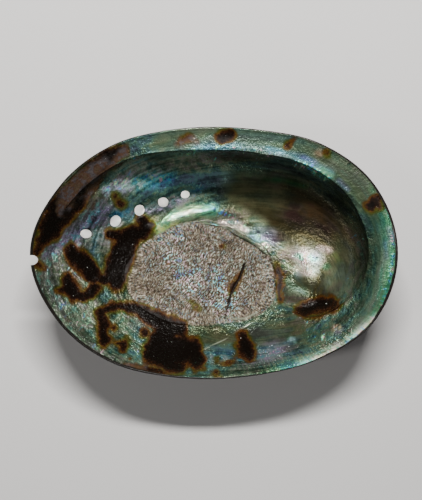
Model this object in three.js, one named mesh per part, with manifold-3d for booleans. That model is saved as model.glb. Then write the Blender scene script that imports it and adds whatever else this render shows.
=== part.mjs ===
import * as THREE from "three";
import { mergeVertices } from "three/addons/utils/BufferGeometryUtils.js";
import Module from "manifold-3d";

// An abalone shell lying on its back, with the pearly inside facing up. Millimetres, +Z up.
// X runs along the shell, from the notched growing end (-X) to the blunt end over the spire (+X).
// Y runs across it: the row of breathing holes and the widest ledge are on the +Y side.
// The origin is on the surface that the shell rests on, below the middle of its outline.

const wasm = await Module();
wasm.setup();

// Driving dimensions of the rim
const RIM_HEIGHT = 36.6;
const RIM_SWING = 1.5; // the two ends stand higher than the long sides by twice this
const LIP_ROUND = 0.7; // depth of the rounded top edge of the lip
const RIM_REACH = [
  [0, 74.7],
  [22.5, 71.1],
  [45, 62.6],
  [67.5, 54.2],
  [90, 51.6],
  [112.5, 54.0],
  [135, 61.0],
  [157.5, 68.7],
  [180, 74.7],
  [202.5, 69.7],
  [225, 61.9],
  [247.5, 54.4],
  [270, 51.6],
  [292.5, 53.6],
  [315, 60.9],
  [337.5, 71.1],
]; // [degrees round the origin, mm from it]
const HALF_LENGTH = 75;
const HALF_WIDTH = 51.5;

// Driving dimensions of the back
const STEEPNESS = [
  [0, 0.25],
  [60, 0.22],
  [110, 0.35],
  [160, 0.6],
  [215, 0.75],
  [270, 0.6],
  [320, 0.3],
]; // [degrees, share of the profile that is an open curve rather than a round wall]
const PROFILE_POWER = 2.3;
const WALL_POWER = 0.5;
const DEEP_SHIFT = new THREE.Vector2(0.078, 0.03); // moves the deepest place towards +X and +Y
const BACK_LIFT = 0.6; // puts the lowest place of the back just below the resting flat

// Driving dimensions of the spire, seen as a low coiled knob on the back
const APEX = new THREE.Vector2(43, -20);
const SPIRE_RADIUS = 13;
const SPIRE_RISE = 4.4;
const COIL_GROWTH = 0.2; // a log spiral's growth for each radian
const SUTURE_DEPTH = 0.9;

// Driving dimensions of the growth steps on the back
const GROWTH_STEPS = 11;
const GROWTH_RISE = 0.55;
const RIM_FADE = 0.08; // relief dies out over this share of the way to the rim
const JUST_INSIDE = 0.995; // the back is upright at the rim, so its direction is taken just inside

// Driving dimensions of the inside
const WALL_THICKNESS = 2.6;
const SPINE_START = new THREE.Vector2(-28, -8); // the line that the inside's rings close on
const SPINE_END = new THREE.Vector2(38, 4);
const LEDGE = [
  [0, 11.5, 33.2, 1],
  [20, 11.6, 34.3, 1],
  [45, 10.9, 35.0, 1],
  [75, 10.0, 34.6, 1],
  [100, 9.3, 34.0, 1],
  [118, 7.6, 33.2, 0.9],
  [140, 7.2, 33.0, 0.45],
  [160, 6.0, 33.5, 0.12],
  [185, 4.0, 34.0, 0],
  [230, 4.0, 33.0, 0],
  [262, 12.0, 25.0, 0],
  [285, 21.0, 17.0, 0],
  [298, 24.5, 13.0, 0.25],
  [304, 18.5, 19.5, 0.8],
  [311, 15.0, 24.0, 1],
  [322, 13.8, 27.0, 1],
  [338, 11.9, 30.5, 1],
]; // [degrees, width from the rim, height of the inner edge, 1 where that edge is a sharp drop]
const LEDGE_DISH = 1.1; // how far the ledge dishes between its edge and the rim
const DROP_REACH = 4.5; // plan length of the drop below the ledge
const UNDERCUT = 3.2; // how far the drop tucks in below the ledge
const COLUMELLA = new THREE.Vector2(33, -31);
const COLUMELLA_RADIUS = 13;
const COLUMELLA_RISE = 2.2;

// Driving dimensions of the muscle scar, a rough raised pad on the floor
const SCAR = new THREE.Vector2(-4.8, -8.7);
const SCAR_REACH = [
  [0, 31.6],
  [22.5, 29.1],
  [45, 23.7],
  [67.5, 22.5],
  [90, 22.2],
  [112.5, 22.9],
  [135, 24.6],
  [157.5, 28.9],
  [180, 33.1],
  [202.5, 30.9],
  [225, 26.4],
  [247.5, 23.1],
  [270, 22.2],
  [292.5, 22.9],
  [315, 27.8],
  [337.5, 32.6],
]; // [degrees round the scar, mm from its middle]
const SCAR_RISE = 2.7;
const SCAR_FADE = 0.3; // the pad is thinner where the back is higher by this share
const SCAR_EDGE = 3.0; // width of its sloping border

// Driving dimensions of the breathing holes: place, sizes along and across, and turn of each
const HOLES = [
  { x: -54.4, y: 8.1, along: 4.3, across: 3.6, turn: 0 },
  { x: -42.4, y: 13.7, along: 5.0, across: 3.9, turn: 60 },
  { x: -32.3, y: 18.5, along: 4.6, across: 3.9, turn: 70 },
  { x: -22.1, y: 22.1, along: 4.3, across: 4.1, turn: 10 },
  { x: -12.5, y: 25.5, along: 3.1, across: 2.6, turn: 20 },
];
const NOTCH = new THREE.Vector2(-74.0, -2.9);
const NOTCH_RADIUS = 1.8;
const CLOSED_HOLES = [
  [-3.5, 28.4, 2.7],
  [5.0, 30.6, 2.6],
  [13.2, 31.9, 2.4],
  [21.2, 32.2, 2.3],
  [29.0, 31.2, 2.1],
  [36.4, 28.8, 1.9],
  [43.2, 24.9, 1.7],
  [48.8, 19.6, 1.5],
  [52.8, 13.2, 1.3],
]; // [x, y, radius] of the bumps left by older holes, back to the spire
const BUMP_RISE = 1.7;
const CLOSED_RISE = 1.36;
const BUMP_ROOT = 1.2; // how far a bump's foot is buried in the wall
const FLARE = 1.25; // a hole is this much wider at the back than inside
const GROOVE_DEPTH = 0.9; // the groove inside, and the ridge outside, that the holes lie on
const GROOVE_WIDTH = 3.2;
const SIDES = 10; // facets round a hole or bump
const HOLE_PLUG = 12; // length of the cutter of a hole
const NOTCH_PLUG = 30; // length of the cutter of the notch

// Mesh steps
const COLUMNS = 72;
const BACK_RINGS = 25;
const LEDGE_RINGS = 5;
const DROP_RINGS = 6;
const FLOOR_RINGS = 16;

const toRadians = THREE.MathUtils.degToRad;
const lerp = THREE.MathUtils.lerp;
const clamp = THREE.MathUtils.clamp;
const smooth = (t) => THREE.MathUtils.smoothstep(t, 0, 1);

// Value number `item` of a closed list of [degrees, ...] rows, on a smooth curve through the rows.
function round(rows, radians, item = 1) {
  const n = rows.length;
  const a = THREE.MathUtils.euclideanModulo((radians * 180) / Math.PI, 360);
  const row = (i) => rows[((i % n) + n) % n];
  const angle = (i) => row(i)[0] + 360 * Math.floor(i / n);
  const slope = (i) => (row(i + 1)[item] - row(i - 1)[item]) / (angle(i + 1) - angle(i - 1));
  let i = -1;
  while (angle(i + 1) <= a) i += 1;
  const step = angle(i + 1) - angle(i);
  const t = (a - angle(i)) / step;
  const rise = row(i + 1)[item] - row(i)[item];
  const bend0 = slope(i) * step - rise;
  const bend1 = rise - slope(i + 1) * step;
  return row(i)[item] + t * rise + t * (1 - t) * ((1 - t) * bend0 + t * bend1);
}

const rimHeight = (radians) => RIM_HEIGHT + RIM_SWING * Math.cos(2 * radians);

// Height of the smooth back at a place in plan.
function backHeight(x, y) {
  const a = Math.atan2(y, x);
  const share = Math.min(1, Math.hypot(x, y) / round(RIM_REACH, a));
  const open = round(STEEPNESS, a);
  const power = share ** PROFILE_POWER;
  const profile = open * power + (1 - open) * (1 - (1 - power) ** WALL_POWER);
  const middle = 1 - share * share;
  const shift = DEEP_SHIFT.x * x + DEEP_SHIFT.y * y - BACK_LIFT;
  const away = Math.hypot(x - APEX.x, y - APEX.y) / SPIRE_RADIUS;
  return rimHeight(a) * profile - shift * middle - SPIRE_RISE * Math.exp(-away * away);
}

// Relief on the back, outwards: growth steps, the coiled suture and the ridge under the holes.
function backRelief(x, y, share) {
  const growth = share * GROWTH_STEPS;
  const step = (growth - Math.floor(growth)) * GROWTH_RISE * smooth(share * 3);
  const away = Math.hypot(x - APEX.x, y - APEX.y);
  const turn = Math.atan2(y - APEX.y, x - APEX.x);
  const coil = Math.cos(Math.log(Math.max(away, 0.5)) / COIL_GROWTH - turn);
  const suture = -SUTURE_DEPTH * Math.exp(-((away / SPIRE_RADIUS) ** 2)) * coil;
  return step + suture + GROOVE_DEPTH * holeLine(x, y);
}

// 1 on the line of the holes and their closed bumps, fading to 0 a few millimetres off it.
const HOLE_LINE = [[NOTCH.x, NOTCH.y], ...HOLES.map((h) => [h.x, h.y]), ...CLOSED_HOLES];
function holeLine(x, y) {
  let near = Infinity;
  for (let i = 1; i < HOLE_LINE.length; i += 1) {
    const [ax, ay] = HOLE_LINE[i - 1];
    const [bx, by] = HOLE_LINE[i];
    const [dx, dy] = [bx - ax, by - ay];
    const t = clamp(((x - ax) * dx + (y - ay) * dy) / (dx * dx + dy * dy), 0, 1);
    near = Math.min(near, Math.hypot(x - ax - t * dx, y - ay - t * dy));
  }
  return Math.exp(-((near / GROOVE_WIDTH) ** 2));
}

// Height of the floor inside at a place in plan, with the scar's pad and the columella's swelling.
function floorHeight(x, y) {
  const back = backHeight(x, y);
  const around = Math.atan2(y - SCAR.y, x - SCAR.x);
  const inside = round(SCAR_REACH, around) - Math.hypot(x - SCAR.x, y - SCAR.y);
  const pad = smooth(inside / SCAR_EDGE + 0.5) * Math.max(0.4, SCAR_RISE - SCAR_FADE * back);
  const root = Math.hypot(x - COLUMELLA.x, y - COLUMELLA.y) / COLUMELLA_RADIUS;
  const swelling = COLUMELLA_RISE * Math.exp(-root * root);
  return back + WALL_THICKNESS + pad + swelling - GROOVE_DEPTH * holeLine(x, y);
}

// Places in plan along one column of the mesh: on the rim, and where the column ends inside.
function rimPlace(u) {
  const a = Math.atan2(HALF_WIDTH * Math.sin(u), HALF_LENGTH * Math.cos(u));
  return new THREE.Vector2(Math.cos(a), Math.sin(a)).multiplyScalar(round(RIM_REACH, a));
}
const spinePlace = (u) => SPINE_START.clone().lerp(SPINE_END, (1 + Math.cos(u)) / 2);

// The direction square to the back and out of the shell.
function backNormal(x, y) {
  const d = 0.2;
  const slopeX = (backHeight(x + d, y) - backHeight(x - d, y)) / (2 * d);
  const slopeY = (backHeight(x, y + d) - backHeight(x, y - d)) / (2 * d);
  return new THREE.Vector3(slopeX, slopeY, -1).normalize();
}

// A point of the back: share 0 is the apex and 1 the rim. Relief is added square to the surface.
function backPoint(u, share) {
  const p = APEX.clone().lerp(rimPlace(u), share);
  const normal = backNormal(p.x * JUST_INSIDE, p.y * JUST_INSIDE);
  const height = Math.min(backHeight(p.x, p.y), rimHeight(p.angle()) - LIP_ROUND);
  const fade = smooth((1 - share) / RIM_FADE);
  const relief = backRelief(p.x, p.y, share) * fade;
  return new THREE.Vector3(p.x, p.y, height).addScaledVector(normal, relief);
}

// Height inside on the plain side, which is the floor run up to the lip.
function plainHeight(x, y) {
  const lip = rimHeight(Math.atan2(y, x));
  const floor = floorHeight(x, y);
  const soft = 1.5;
  return -soft * Math.log(Math.exp(-floor / soft) + Math.exp(-lip / soft));
}

// A point of the ledge: share 0 is the rim's top and 1 the ledge's inner edge.
function ledgePoint(u, share) {
  const rim = rimPlace(u);
  const run = spinePlace(u).sub(rim);
  const width = round(LEDGE, u, 1);
  const inset = lerp(LIP_ROUND, width, share);
  const p = rim.clone().addScaledVector(run.normalize(), inset);
  const sharp = clamp(round(LEDGE, u, 3), 0, 1);
  const dish = LEDGE_DISH * Math.sin(Math.PI * share ** 0.8);
  const ledge = lerp(rimHeight(rim.angle()), round(LEDGE, u, 2), share) - dish;
  return new THREE.Vector3(p.x, p.y, lerp(plainHeight(p.x, p.y), ledge, sharp));
}

// A point of the drop below the ledge: share 0 is the ledge's edge and 1 the foot on the floor.
function dropPoint(u, share) {
  const rim = rimPlace(u);
  const spine = spinePlace(u);
  const run = spine.clone().sub(rim).normalize();
  const sharp = clamp(round(LEDGE, u, 3), 0, 1);
  const p = rim.clone().addScaledVector(run, round(LEDGE, u, 1) + DROP_REACH * share);
  const plain = plainHeight(p.x, p.y);
  const height = plain + sharp * (round(LEDGE, u, 2) - plain) * (1 - smooth(share));
  p.addScaledVector(run, -sharp * UNDERCUT * Math.sin(Math.PI * share ** 0.75));
  return new THREE.Vector3(p.x, p.y, height);
}

// A point of the floor: share 0 is the foot of the drop and 1 the line that the rings close on.
function floorPoint(u, share) {
  const rim = rimPlace(u);
  const spine = spinePlace(u);
  const run = spine.clone().sub(rim).normalize();
  const foot = rim.addScaledVector(run, round(LEDGE, u, 1) + DROP_REACH);
  const p = foot.lerp(spine, share);
  return new THREE.Vector3(p.x, p.y, plainHeight(p.x, p.y));
}

// All rings of the shell's skin, from the apex over the back, the lip, the ledge and the floor.
function rings() {
  const made = [];
  const ring = (point, share) => {
    const row = [];
    for (let i = 0; i < COLUMNS; i += 1) {
      const top = (COLUMNS - i) % COLUMNS; // the floor's two halves share their places on the spine
      const u = (2 * Math.PI * (share === 1 && point === floorPoint ? Math.min(i, top) : i)) / COLUMNS;
      row.push(point(u, share));
    }
    made.push(row);
  };
  for (let k = 0; k <= BACK_RINGS; k += 1) ring(backPoint, Math.sin((Math.PI / 2) * (k / BACK_RINGS)));
  for (let k = 0; k <= LEDGE_RINGS; k += 1) ring(ledgePoint, k / LEDGE_RINGS);
  for (let k = 1; k <= DROP_RINGS; k += 1) ring(dropPoint, k / DROP_RINGS);
  for (let k = 1; k <= FLOOR_RINGS; k += 1) ring(floorPoint, k / FLOOR_RINGS);
  return made;
}

// Joins the rings into one closed skin.
function skinGeometry() {
  const rows = rings();
  const positions = rows.flat().flatMap((p) => p.toArray());
  const faces = [];
  const at = (k, i) => k * COLUMNS + (i % COLUMNS);
  for (let k = 1; k < rows.length; k += 1) {
    for (let i = 0; i < COLUMNS; i += 1) {
      faces.push(at(k - 1, i), at(k - 1, i + 1), at(k, i + 1));
      faces.push(at(k - 1, i), at(k, i + 1), at(k, i));
    }
  }
  const geometry = new THREE.BufferGeometry();
  geometry.setAttribute("position", new THREE.Float32BufferAttribute(positions, 3));
  geometry.setIndex(faces);
  return geometry;
}

// Turns a closed three.js geometry into a solid, with shared corners merged and no empty faces.
function toSolid(geometry) {
  const bare = geometry.clone();
  bare.deleteAttribute("normal");
  bare.deleteAttribute("uv");
  const merged = mergeVertices(bare, 1e-4);
  const corners = merged.index.array;
  const kept = [];
  for (let i = 0; i < corners.length; i += 3) {
    const [a, b, c] = [corners[i], corners[i + 1], corners[i + 2]];
    if (a !== b && b !== c && a !== c) kept.push(a, b, c);
  }
  return new wasm.Manifold(
    new wasm.Mesh({
      numProp: 3,
      vertProperties: new Float32Array(merged.attributes.position.array),
      triVerts: new Uint32Array(kept),
    }),
  );
}

function toGeometry(solid) {
  const mesh = solid.getMesh();
  const geometry = new THREE.BufferGeometry();
  geometry.setAttribute("position", new THREE.Float32BufferAttribute(mesh.vertProperties, 3));
  geometry.setIndex(new THREE.Uint32BufferAttribute(mesh.triVerts, 1));
  geometry.computeVertexNormals();
  return geometry;
}

// A low round bump on the back, with its foot buried in the wall.
function bump(x, y, radius, rise) {
  const profile = [
    [0, BUMP_ROOT],
    [radius * 1.7, BUMP_ROOT],
    [radius * 1.7, 0],
    [radius * 1.25, -rise * 0.7],
    [radius * 0.8, -rise],
    [0, -rise],
  ].map(([r, z]) => new THREE.Vector2(r, z));
  const geometry = new THREE.LatheGeometry(profile.reverse(), SIDES);
  geometry.rotateX(Math.PI / 2);
  const down = new THREE.Vector3(0, 0, -1);
  geometry.applyQuaternion(new THREE.Quaternion().setFromUnitVectors(down, backNormal(x, y)));
  geometry.translate(x, y, backHeight(x, y));
  return toSolid(geometry);
}

// The plug that cuts one breathing hole: oval, upright, and wider towards the back.
function holePlug({ x, y, along, across, turn }) {
  const profile = [
    [0, 0],
    [FLARE, 0],
    [1, 1],
    [0, 1],
  ].map(([r, z]) => new THREE.Vector2(r, z));
  const geometry = new THREE.LatheGeometry(profile, SIDES);
  geometry.rotateX(Math.PI / 2);
  geometry.scale(along / 2, across / 2, HOLE_PLUG);
  geometry.rotateZ(toRadians(turn));
  geometry.translate(x, y, backHeight(x, y) - HOLE_PLUG / 2);
  return toSolid(geometry);
}

function notchPlug() {
  const geometry = new THREE.CylinderGeometry(NOTCH_RADIUS, NOTCH_RADIUS * FLARE, NOTCH_PLUG, SIDES);
  geometry.rotateX(Math.PI / 2);
  geometry.translate(NOTCH.x, NOTCH.y, RIM_HEIGHT);
  return toSolid(geometry);
}

// All that lies below the resting flat, which is worn on the back under the centre of mass.
function underRest() {
  const under = new THREE.BoxGeometry(4 * HALF_LENGTH, 4 * HALF_WIDTH, HOLE_PLUG);
  under.translate(0, 0, -HOLE_PLUG / 2);
  return under;
}

function shell() {
  let solid = toSolid(skinGeometry());
  for (const hole of HOLES) {
    solid = solid.add(bump(hole.x, hole.y, (hole.along + hole.across) / 4 + 0.6, BUMP_RISE));
  }
  for (const [x, y, radius] of CLOSED_HOLES) solid = solid.add(bump(x, y, radius, CLOSED_RISE));
  for (const hole of HOLES) solid = solid.subtract(holePlug(hole));
  solid = solid.subtract(notchPlug());
  return toGeometry(solid.subtract(toSolid(underRest())));
}

const nacre = new THREE.MeshStandardMaterial({ color: 0x6f8f86, roughness: 0.3, metalness: 0.5 });

const mesh = new THREE.Mesh(shell(), nacre);
mesh.name = "shell";

const abalone = new THREE.Group();
abalone.name = "abalone_shell";
abalone.add(mesh);

export default abalone;
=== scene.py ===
"""An abalone shell lying on its back with its pearly inside up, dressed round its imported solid.

The shell is one piece. Its skin is a fine grid wrapped from the spire over the back, round the lip,
along the ledge and down to the floor, then cut by the breathing holes. Lengths in the tables are
millimetres in the frame of the solid: +X towards the blunt end, +Y towards the holes, +Z up.
"""

import math

import bmesh
import bpy
import numpy as np
from mathutils import Matrix, Vector, noise


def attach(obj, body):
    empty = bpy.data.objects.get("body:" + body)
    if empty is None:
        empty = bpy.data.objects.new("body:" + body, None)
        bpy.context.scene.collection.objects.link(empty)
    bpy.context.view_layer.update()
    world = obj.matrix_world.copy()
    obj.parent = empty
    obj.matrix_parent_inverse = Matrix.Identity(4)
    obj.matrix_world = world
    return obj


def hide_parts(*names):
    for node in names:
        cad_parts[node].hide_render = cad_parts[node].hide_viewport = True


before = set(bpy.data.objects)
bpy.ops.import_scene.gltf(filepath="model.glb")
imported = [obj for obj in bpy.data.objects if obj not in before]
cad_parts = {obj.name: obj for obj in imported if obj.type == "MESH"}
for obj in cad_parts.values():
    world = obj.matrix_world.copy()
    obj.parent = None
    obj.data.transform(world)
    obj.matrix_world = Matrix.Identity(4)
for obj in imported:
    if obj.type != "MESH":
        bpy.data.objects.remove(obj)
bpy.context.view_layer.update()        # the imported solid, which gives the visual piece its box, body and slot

bl_info = {
    "name": "Abalone Shell",
    "version": (1, 0, 0),
    "blender": (4, 5, 0),
    "location": "View3D > Sidebar > Shell",
    "description": "Builds a pearly, stained abalone shell with its muscle scar and crusted back",
    "category": "Add Mesh",
}

MM = 0.001

# Outline and height of the rim
RIM_HEIGHT = 36.6
RIM_SWING = 1.5
LIP_ROUND = 0.7
HALF_LENGTH = 75
HALF_WIDTH = 51.5
RIM_REACH = [
    (0, 74.7), (22.5, 71.1), (45, 62.6), (67.5, 54.2), (90, 51.6), (112.5, 54.0), (135, 61.0),
    (157.5, 68.7), (180, 74.7), (202.5, 69.7), (225, 61.9), (247.5, 54.4), (270, 51.6),
    (292.5, 53.6), (315, 60.9), (337.5, 71.1),
]  # (degrees round the origin, mm from it)
LIP_EDGE = [
    (0, 1.2), (60, 0.6), (120, 0.5), (165, 0.9), (190, 1.3), (225, 1.3), (250, 0.9), (280, 0.7),
    (310, 0.6), (335, 1.2),
]  # (degrees, width of the dark outer layer that shows along the lip)

# Curve of the back
STEEPNESS = [(0, 0.25), (60, 0.22), (110, 0.35), (160, 0.6), (215, 0.75), (270, 0.6), (320, 0.3)]
PROFILE_POWER = 2.3
WALL_POWER = 0.5
DEEP_SHIFT = (0.078, 0.03)
BACK_LIFT = 0.6
APEX = (43, -20)
SPIRE_RADIUS = 13
SPIRE_RISE = 4.4
COIL_GROWTH = 0.2
GROWTH_STEPS = 11
CORDS = 46  # spiral cords round the spire

# Inside: wall, ledge and the swelling at the root of the coil
WALL_THICKNESS = 2.6
SPINE_START = (-28, -8)
SPINE_END = (38, 4)
LEDGE = [
    (0, 11.5, 33.2, 1), (20, 11.6, 34.3, 1), (45, 10.9, 35.0, 1), (75, 10.0, 34.6, 1),
    (100, 9.3, 34.0, 1), (118, 7.6, 33.2, 0.9), (140, 7.2, 33.0, 0.45), (160, 6.0, 33.5, 0.12),
    (185, 4.0, 34.0, 0), (230, 4.0, 33.0, 0), (262, 12.0, 25.0, 0), (285, 21.0, 17.0, 0),
    (298, 24.5, 13.0, 0.25), (304, 18.5, 19.5, 0.8), (311, 15.0, 24.0, 1), (322, 13.8, 27.0, 1),
    (338, 11.9, 30.5, 1),
]  # (degrees, width from the rim, height of the inner edge, 1 where that edge is a sharp drop)
LEDGE_DISH = 0.75
FLOOR_BLEND = 1.5  # softens where the floor meets the height of the lip
DROP_REACH = 4.5
UNDERCUT = 3.2
COLUMELLA = (33, -31)
COLUMELLA_RADIUS = 13
COLUMELLA_RISE = 2.2

# The muscle scar, a rough raised pad
SCAR = (-4.8, -8.7)
SCAR_REACH = [
    (0, 31.6), (22.5, 29.1), (45, 23.7), (67.5, 22.5), (90, 22.2), (112.5, 22.9), (135, 24.6),
    (157.5, 28.9), (180, 33.1), (202.5, 30.9), (225, 26.4), (247.5, 23.1), (270, 22.2),
    (292.5, 22.9), (315, 27.8), (337.5, 32.6),
]  # (degrees round the scar, mm from its middle)
SCAR_RISE = 2.7
SCAR_FADE = 0.3
SCAR_EDGE = 1.6
SCAR_SPINE_START = (-27, -8)
SCAR_SPINE_END = (16, -8)
STROKE_TURN = 56
STROKE_LENGTH = 2.3
SPREAD_RADIUS = 22
CRACK = [(13.5, -5), (13, -6.5), (11.5, -11), (8.5, -16), (7, -19.5), (6, -24), (5, -28)]
LOBE_RIDGE = [(4.5, -27.5), (8, -28.8), (14, -28.5), (19, -26)]
BLISTER = (33, -36.5)
SCRATCH = [(16, -30.5), (4.5, -37), (-6, -41.5), (-10, -44), (-13, -47.5)]

# Breathing holes (x, y, along, across, turn) and the bumps of closed ones (x, y, radius)
HOLES = [
    (-54.4, 8.1, 4.3, 3.6, 0), (-42.4, 13.7, 5.0, 3.9, 60), (-32.3, 18.5, 4.6, 3.9, 70),
    (-22.1, 22.1, 4.3, 4.1, 10), (-12.5, 25.5, 3.6, 3.1, 20),
]
NOTCH = (-74.0, -2.9)
NOTCH_RADIUS = 1.8
CLOSED_HOLES = [
    (-3.5, 28.4, 2.7), (5.0, 30.6, 2.6), (13.2, 31.9, 2.4), (21.2, 32.2, 2.3), (29.0, 31.2, 2.1),
    (36.4, 28.8, 1.9), (43.2, 24.9, 1.7), (48.8, 19.6, 1.5), (52.8, 13.2, 1.3),
]
CLOSED_SHARE = 0.8  # height of a closed hole's bump beside an open one's
BUMP_MARGIN = 0.6
HOLE_FLARE = 1.25
HOLE_SIDES = 36
PLUG_HEIGHT = 12  # of the shapes that cut the holes
NOTCH_PLUG_HEIGHT = 30
EDGE_REACH = 0.9  # mm from a hole within which its sharp edge is rounded
EDGE_PASSES = 3
UPRIGHT_REACH = 2.2  # mm from a hole within which the relief moves straight up or down
UPRIGHT_FADE = 1.2
RIM_CALM = 2  # mm inside the rim over which the relief sets in
GROOVE_DEPTH = 0.9
GROOVE_WIDTH = 3.2

# The grid of the skin
LIP_STEPS = 5
SCAR_MARGIN = 1.5  # mm outside the scar's outline where the closer rings start
SEARCH_STEPS = 400
WELD = 1e-4

# Relief of the inside
ROUGH_EDGE = 1.2  # mm over which the scar's roughness sets in
POLISHING = 0.85  # share of the crinkles that a polished part loses
SPREAD_FROM = 7  # mm inside the scar's outline where the strokes begin to spread
SPREAD_OVER = 5
BORDER_PLACE = 0.8
BORDER_WIDTH = 1.5
BORDER_SHEEN = 0.35
BLISTER_SIZE = (1.7, 1.1)
BLISTER_RISE = 0.5
BLISTER_MOAT = 0.25
GROOVE_END = 15  # x where the groove under the row of holes begins to run out
GROOVE_RUN_OUT = 20
HOLE_CALM = 1.5  # mm round a hole over which the relief sets in

# Relief of the back
FINE_STEPS = 6  # fine growth lines between two growth steps
FINE_RISE = 0.14
CORD_CURL = 0.55
BUMP_FOOT = 1.75

# Soft lumps of the relief: (height, width of a lump, seed)
SEED_STEP = 7.31
WIDE_LUMPS = [(0.4, 22, 11)]
PEARL_LUMPS = [(0.18, 8, 12), (0.09, 3.2, 13)]
SCAR_LUMPS = [(0.12, 1.4, 17), (0.2, 4, 14)]
BORDER_LUMPS = [(0.3, 2.4, 15)]
BACK_WOBBLE = [(0.25, 18, 21), (0.12, 5, 22)]
CRUST_LUMPS = [(0.22, 5, 24), (0.2, 1.8, 25)]
STROKE_BENDS = [[(1.3, 6, 1), (0.35, 2, 3)], [(1.3, 6, 2), (0.35, 2, 4)]]
EVEN_STROKES = [(0.09, 1.1, 4)]
SPREAD_STROKES = [(0.09, 1.1, 5)]
WRINKLES = [(0.4, 1.6, 16)]
CORD_WOBBLE = [(1.5, 14, 23)]
# Narrow ridges and grooves of the inside: (line, half width, height)
FINE_LINES = [(CRACK, 0.6, -0.8), (LOBE_RIDGE, 0.6, 0.45), (SCRATCH, 0.3, -0.15)]

# Stains of the horny layer: strokes of (x, y, radius)
STAINS = [
    [(-72.5, 0.5, 1.5), (-68, 8.5, 3.5), (-63.5, 17, 5), (-58.5, 22.5, 5.4), (-53.5, 28.5, 3.8),
     (-48.5, 35, 3.5), (-42.5, 39.5, 3.5), (-38, 42, 2.5)],
    [(-41.5, 24.5, 1.3)],
    [(-40, 21, 1.9)],
    [(-31.5, 14.5, 2.3), (-29, 11.5, 2.8), (-31, 8.5, 3.2), (-35, 7.5, 4.2), (-39.5, 6.5, 3.4),
     (-44, 8, 2.3)],
    [(-36, 6, 4.5), (-39, 2, 5), (-40.5, -3, 5.2), (-42, -8, 5), (-41.5, -13, 3.5)],
    [(-41, -9, 3.5), (-46, -11.5, 2.2), (-50, -11, 2.2)],
    [(-60, 1.5, 2.6), (-57.5, -2, 4), (-54, -6, 4), (-51, -10, 3.4)],
    [(-61.5, -10.5, 1.8), (-59.5, -14.5, 3.6), (-58, -17.5, 2.4), (-54, -18.5, 1.8), (-50.5, -15, 3)],
    [(-64.5, -15, 0.8), (-61.5, -15.5, 1.6)],
    [(-45.5, -30, 2.2), (-47.5, -25, 1.8), (-43.5, -22.8, 1.8), (-37, -22.8, 2), (-31.5, -24.8, 2.6),
     (-26, -28, 3.6), (-19.5, -31, 4.2), (-14.5, -33, 3.4)],
    [(-47.2, -28, 2), (-46, -33, 2.4), (-45, -37, 2.2)],
    [(-20, -34, 5), (-23, -40, 6), (-16, -41, 6.5), (-10, -41, 5.2), (-7, -45, 3.6)],
    [(-27, -42.5, 3), (-21, -45, 3.4), (-13.5, -47, 2.6)],
    [(-36, -46.2, 0.7), (-28.5, -47.3, 0.9), (-22, -48.4, 1.4)],
    [(-29.5, -33.5, 2)],
    [(-37.5, -38, 2.3), (-41, -37.4, 0.6)],
    [(-42, -31.5, 1)],
    [(-34.5, -43.5, 0.6)],
    [(1, -49.5, 1.2)],
    [(1.5, -45, 0.8)],
    [(12.5, -36, 2.6), (13.5, -40, 4), (15, -42, 3)],
    [(3.5, -46, 0.3), (8.5, -45, 0.5)],
    [(-12.5, 46.3, 1.3), (-10.5, 47, 1.3)],
    [(3, 47.3, 2.3), (6.5, 48.3, 2.2)],
    [(29.5, 43.5, 0.6), (32.5, 46.5, 0.6)],
    [(46, 40.5, 1)],
    [(63.5, 19, 2), (66, 21.5, 2), (67.5, 18.5, 1.2)],
    [(36, -25, 1.6), (40, -24.5, 3), (46, -22.5, 3.4), (50.5, -21, 2.6)],
    [(28, -5.5, 0.8), (29, -9.5, 1.8), (29.5, -13, 1.4), (28.7, -16.5, 0.7), (28.8, -20.5, 0.8)],
    [(12.6, -7.5, 0.2), (10.7, -11.5, 0.7), (8.2, -15.5, 1.3), (7.1, -18, 0.6)],
    [(-10, -21, 0.5)],
    [(-7.5, -23.5, 0.7)],
    [(-20, -5, 0.2)],
    [(3.5, 3, 0.4)],
    [(-72, -4, 1), (-70.5, -6.5, 1)],
]
# Fainter veils of the same layer, thin enough for the pearl to show through
VEILS = [
    [(-63, 16, 1), (-60, 24, 3.5), (-53, 32, 3.5), (-46, 37, 3)],
    [(-51.5, 20, 1.5), (-52, 24, 2), (-50.5, 28.5, 1.5), (-46, 33, 1.5), (-41, 37, 1.5), (-37, 41, 2.5)],
    [(-60, -27.5, 1.2), (-55, -31.5, 1.5), (-51, -31, 1)],
    [(-14, 45, 2), (-9, 46, 2.5)],
    [(-38, -45.5, 1.5), (-30, -47, 1.5)],
]

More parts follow.
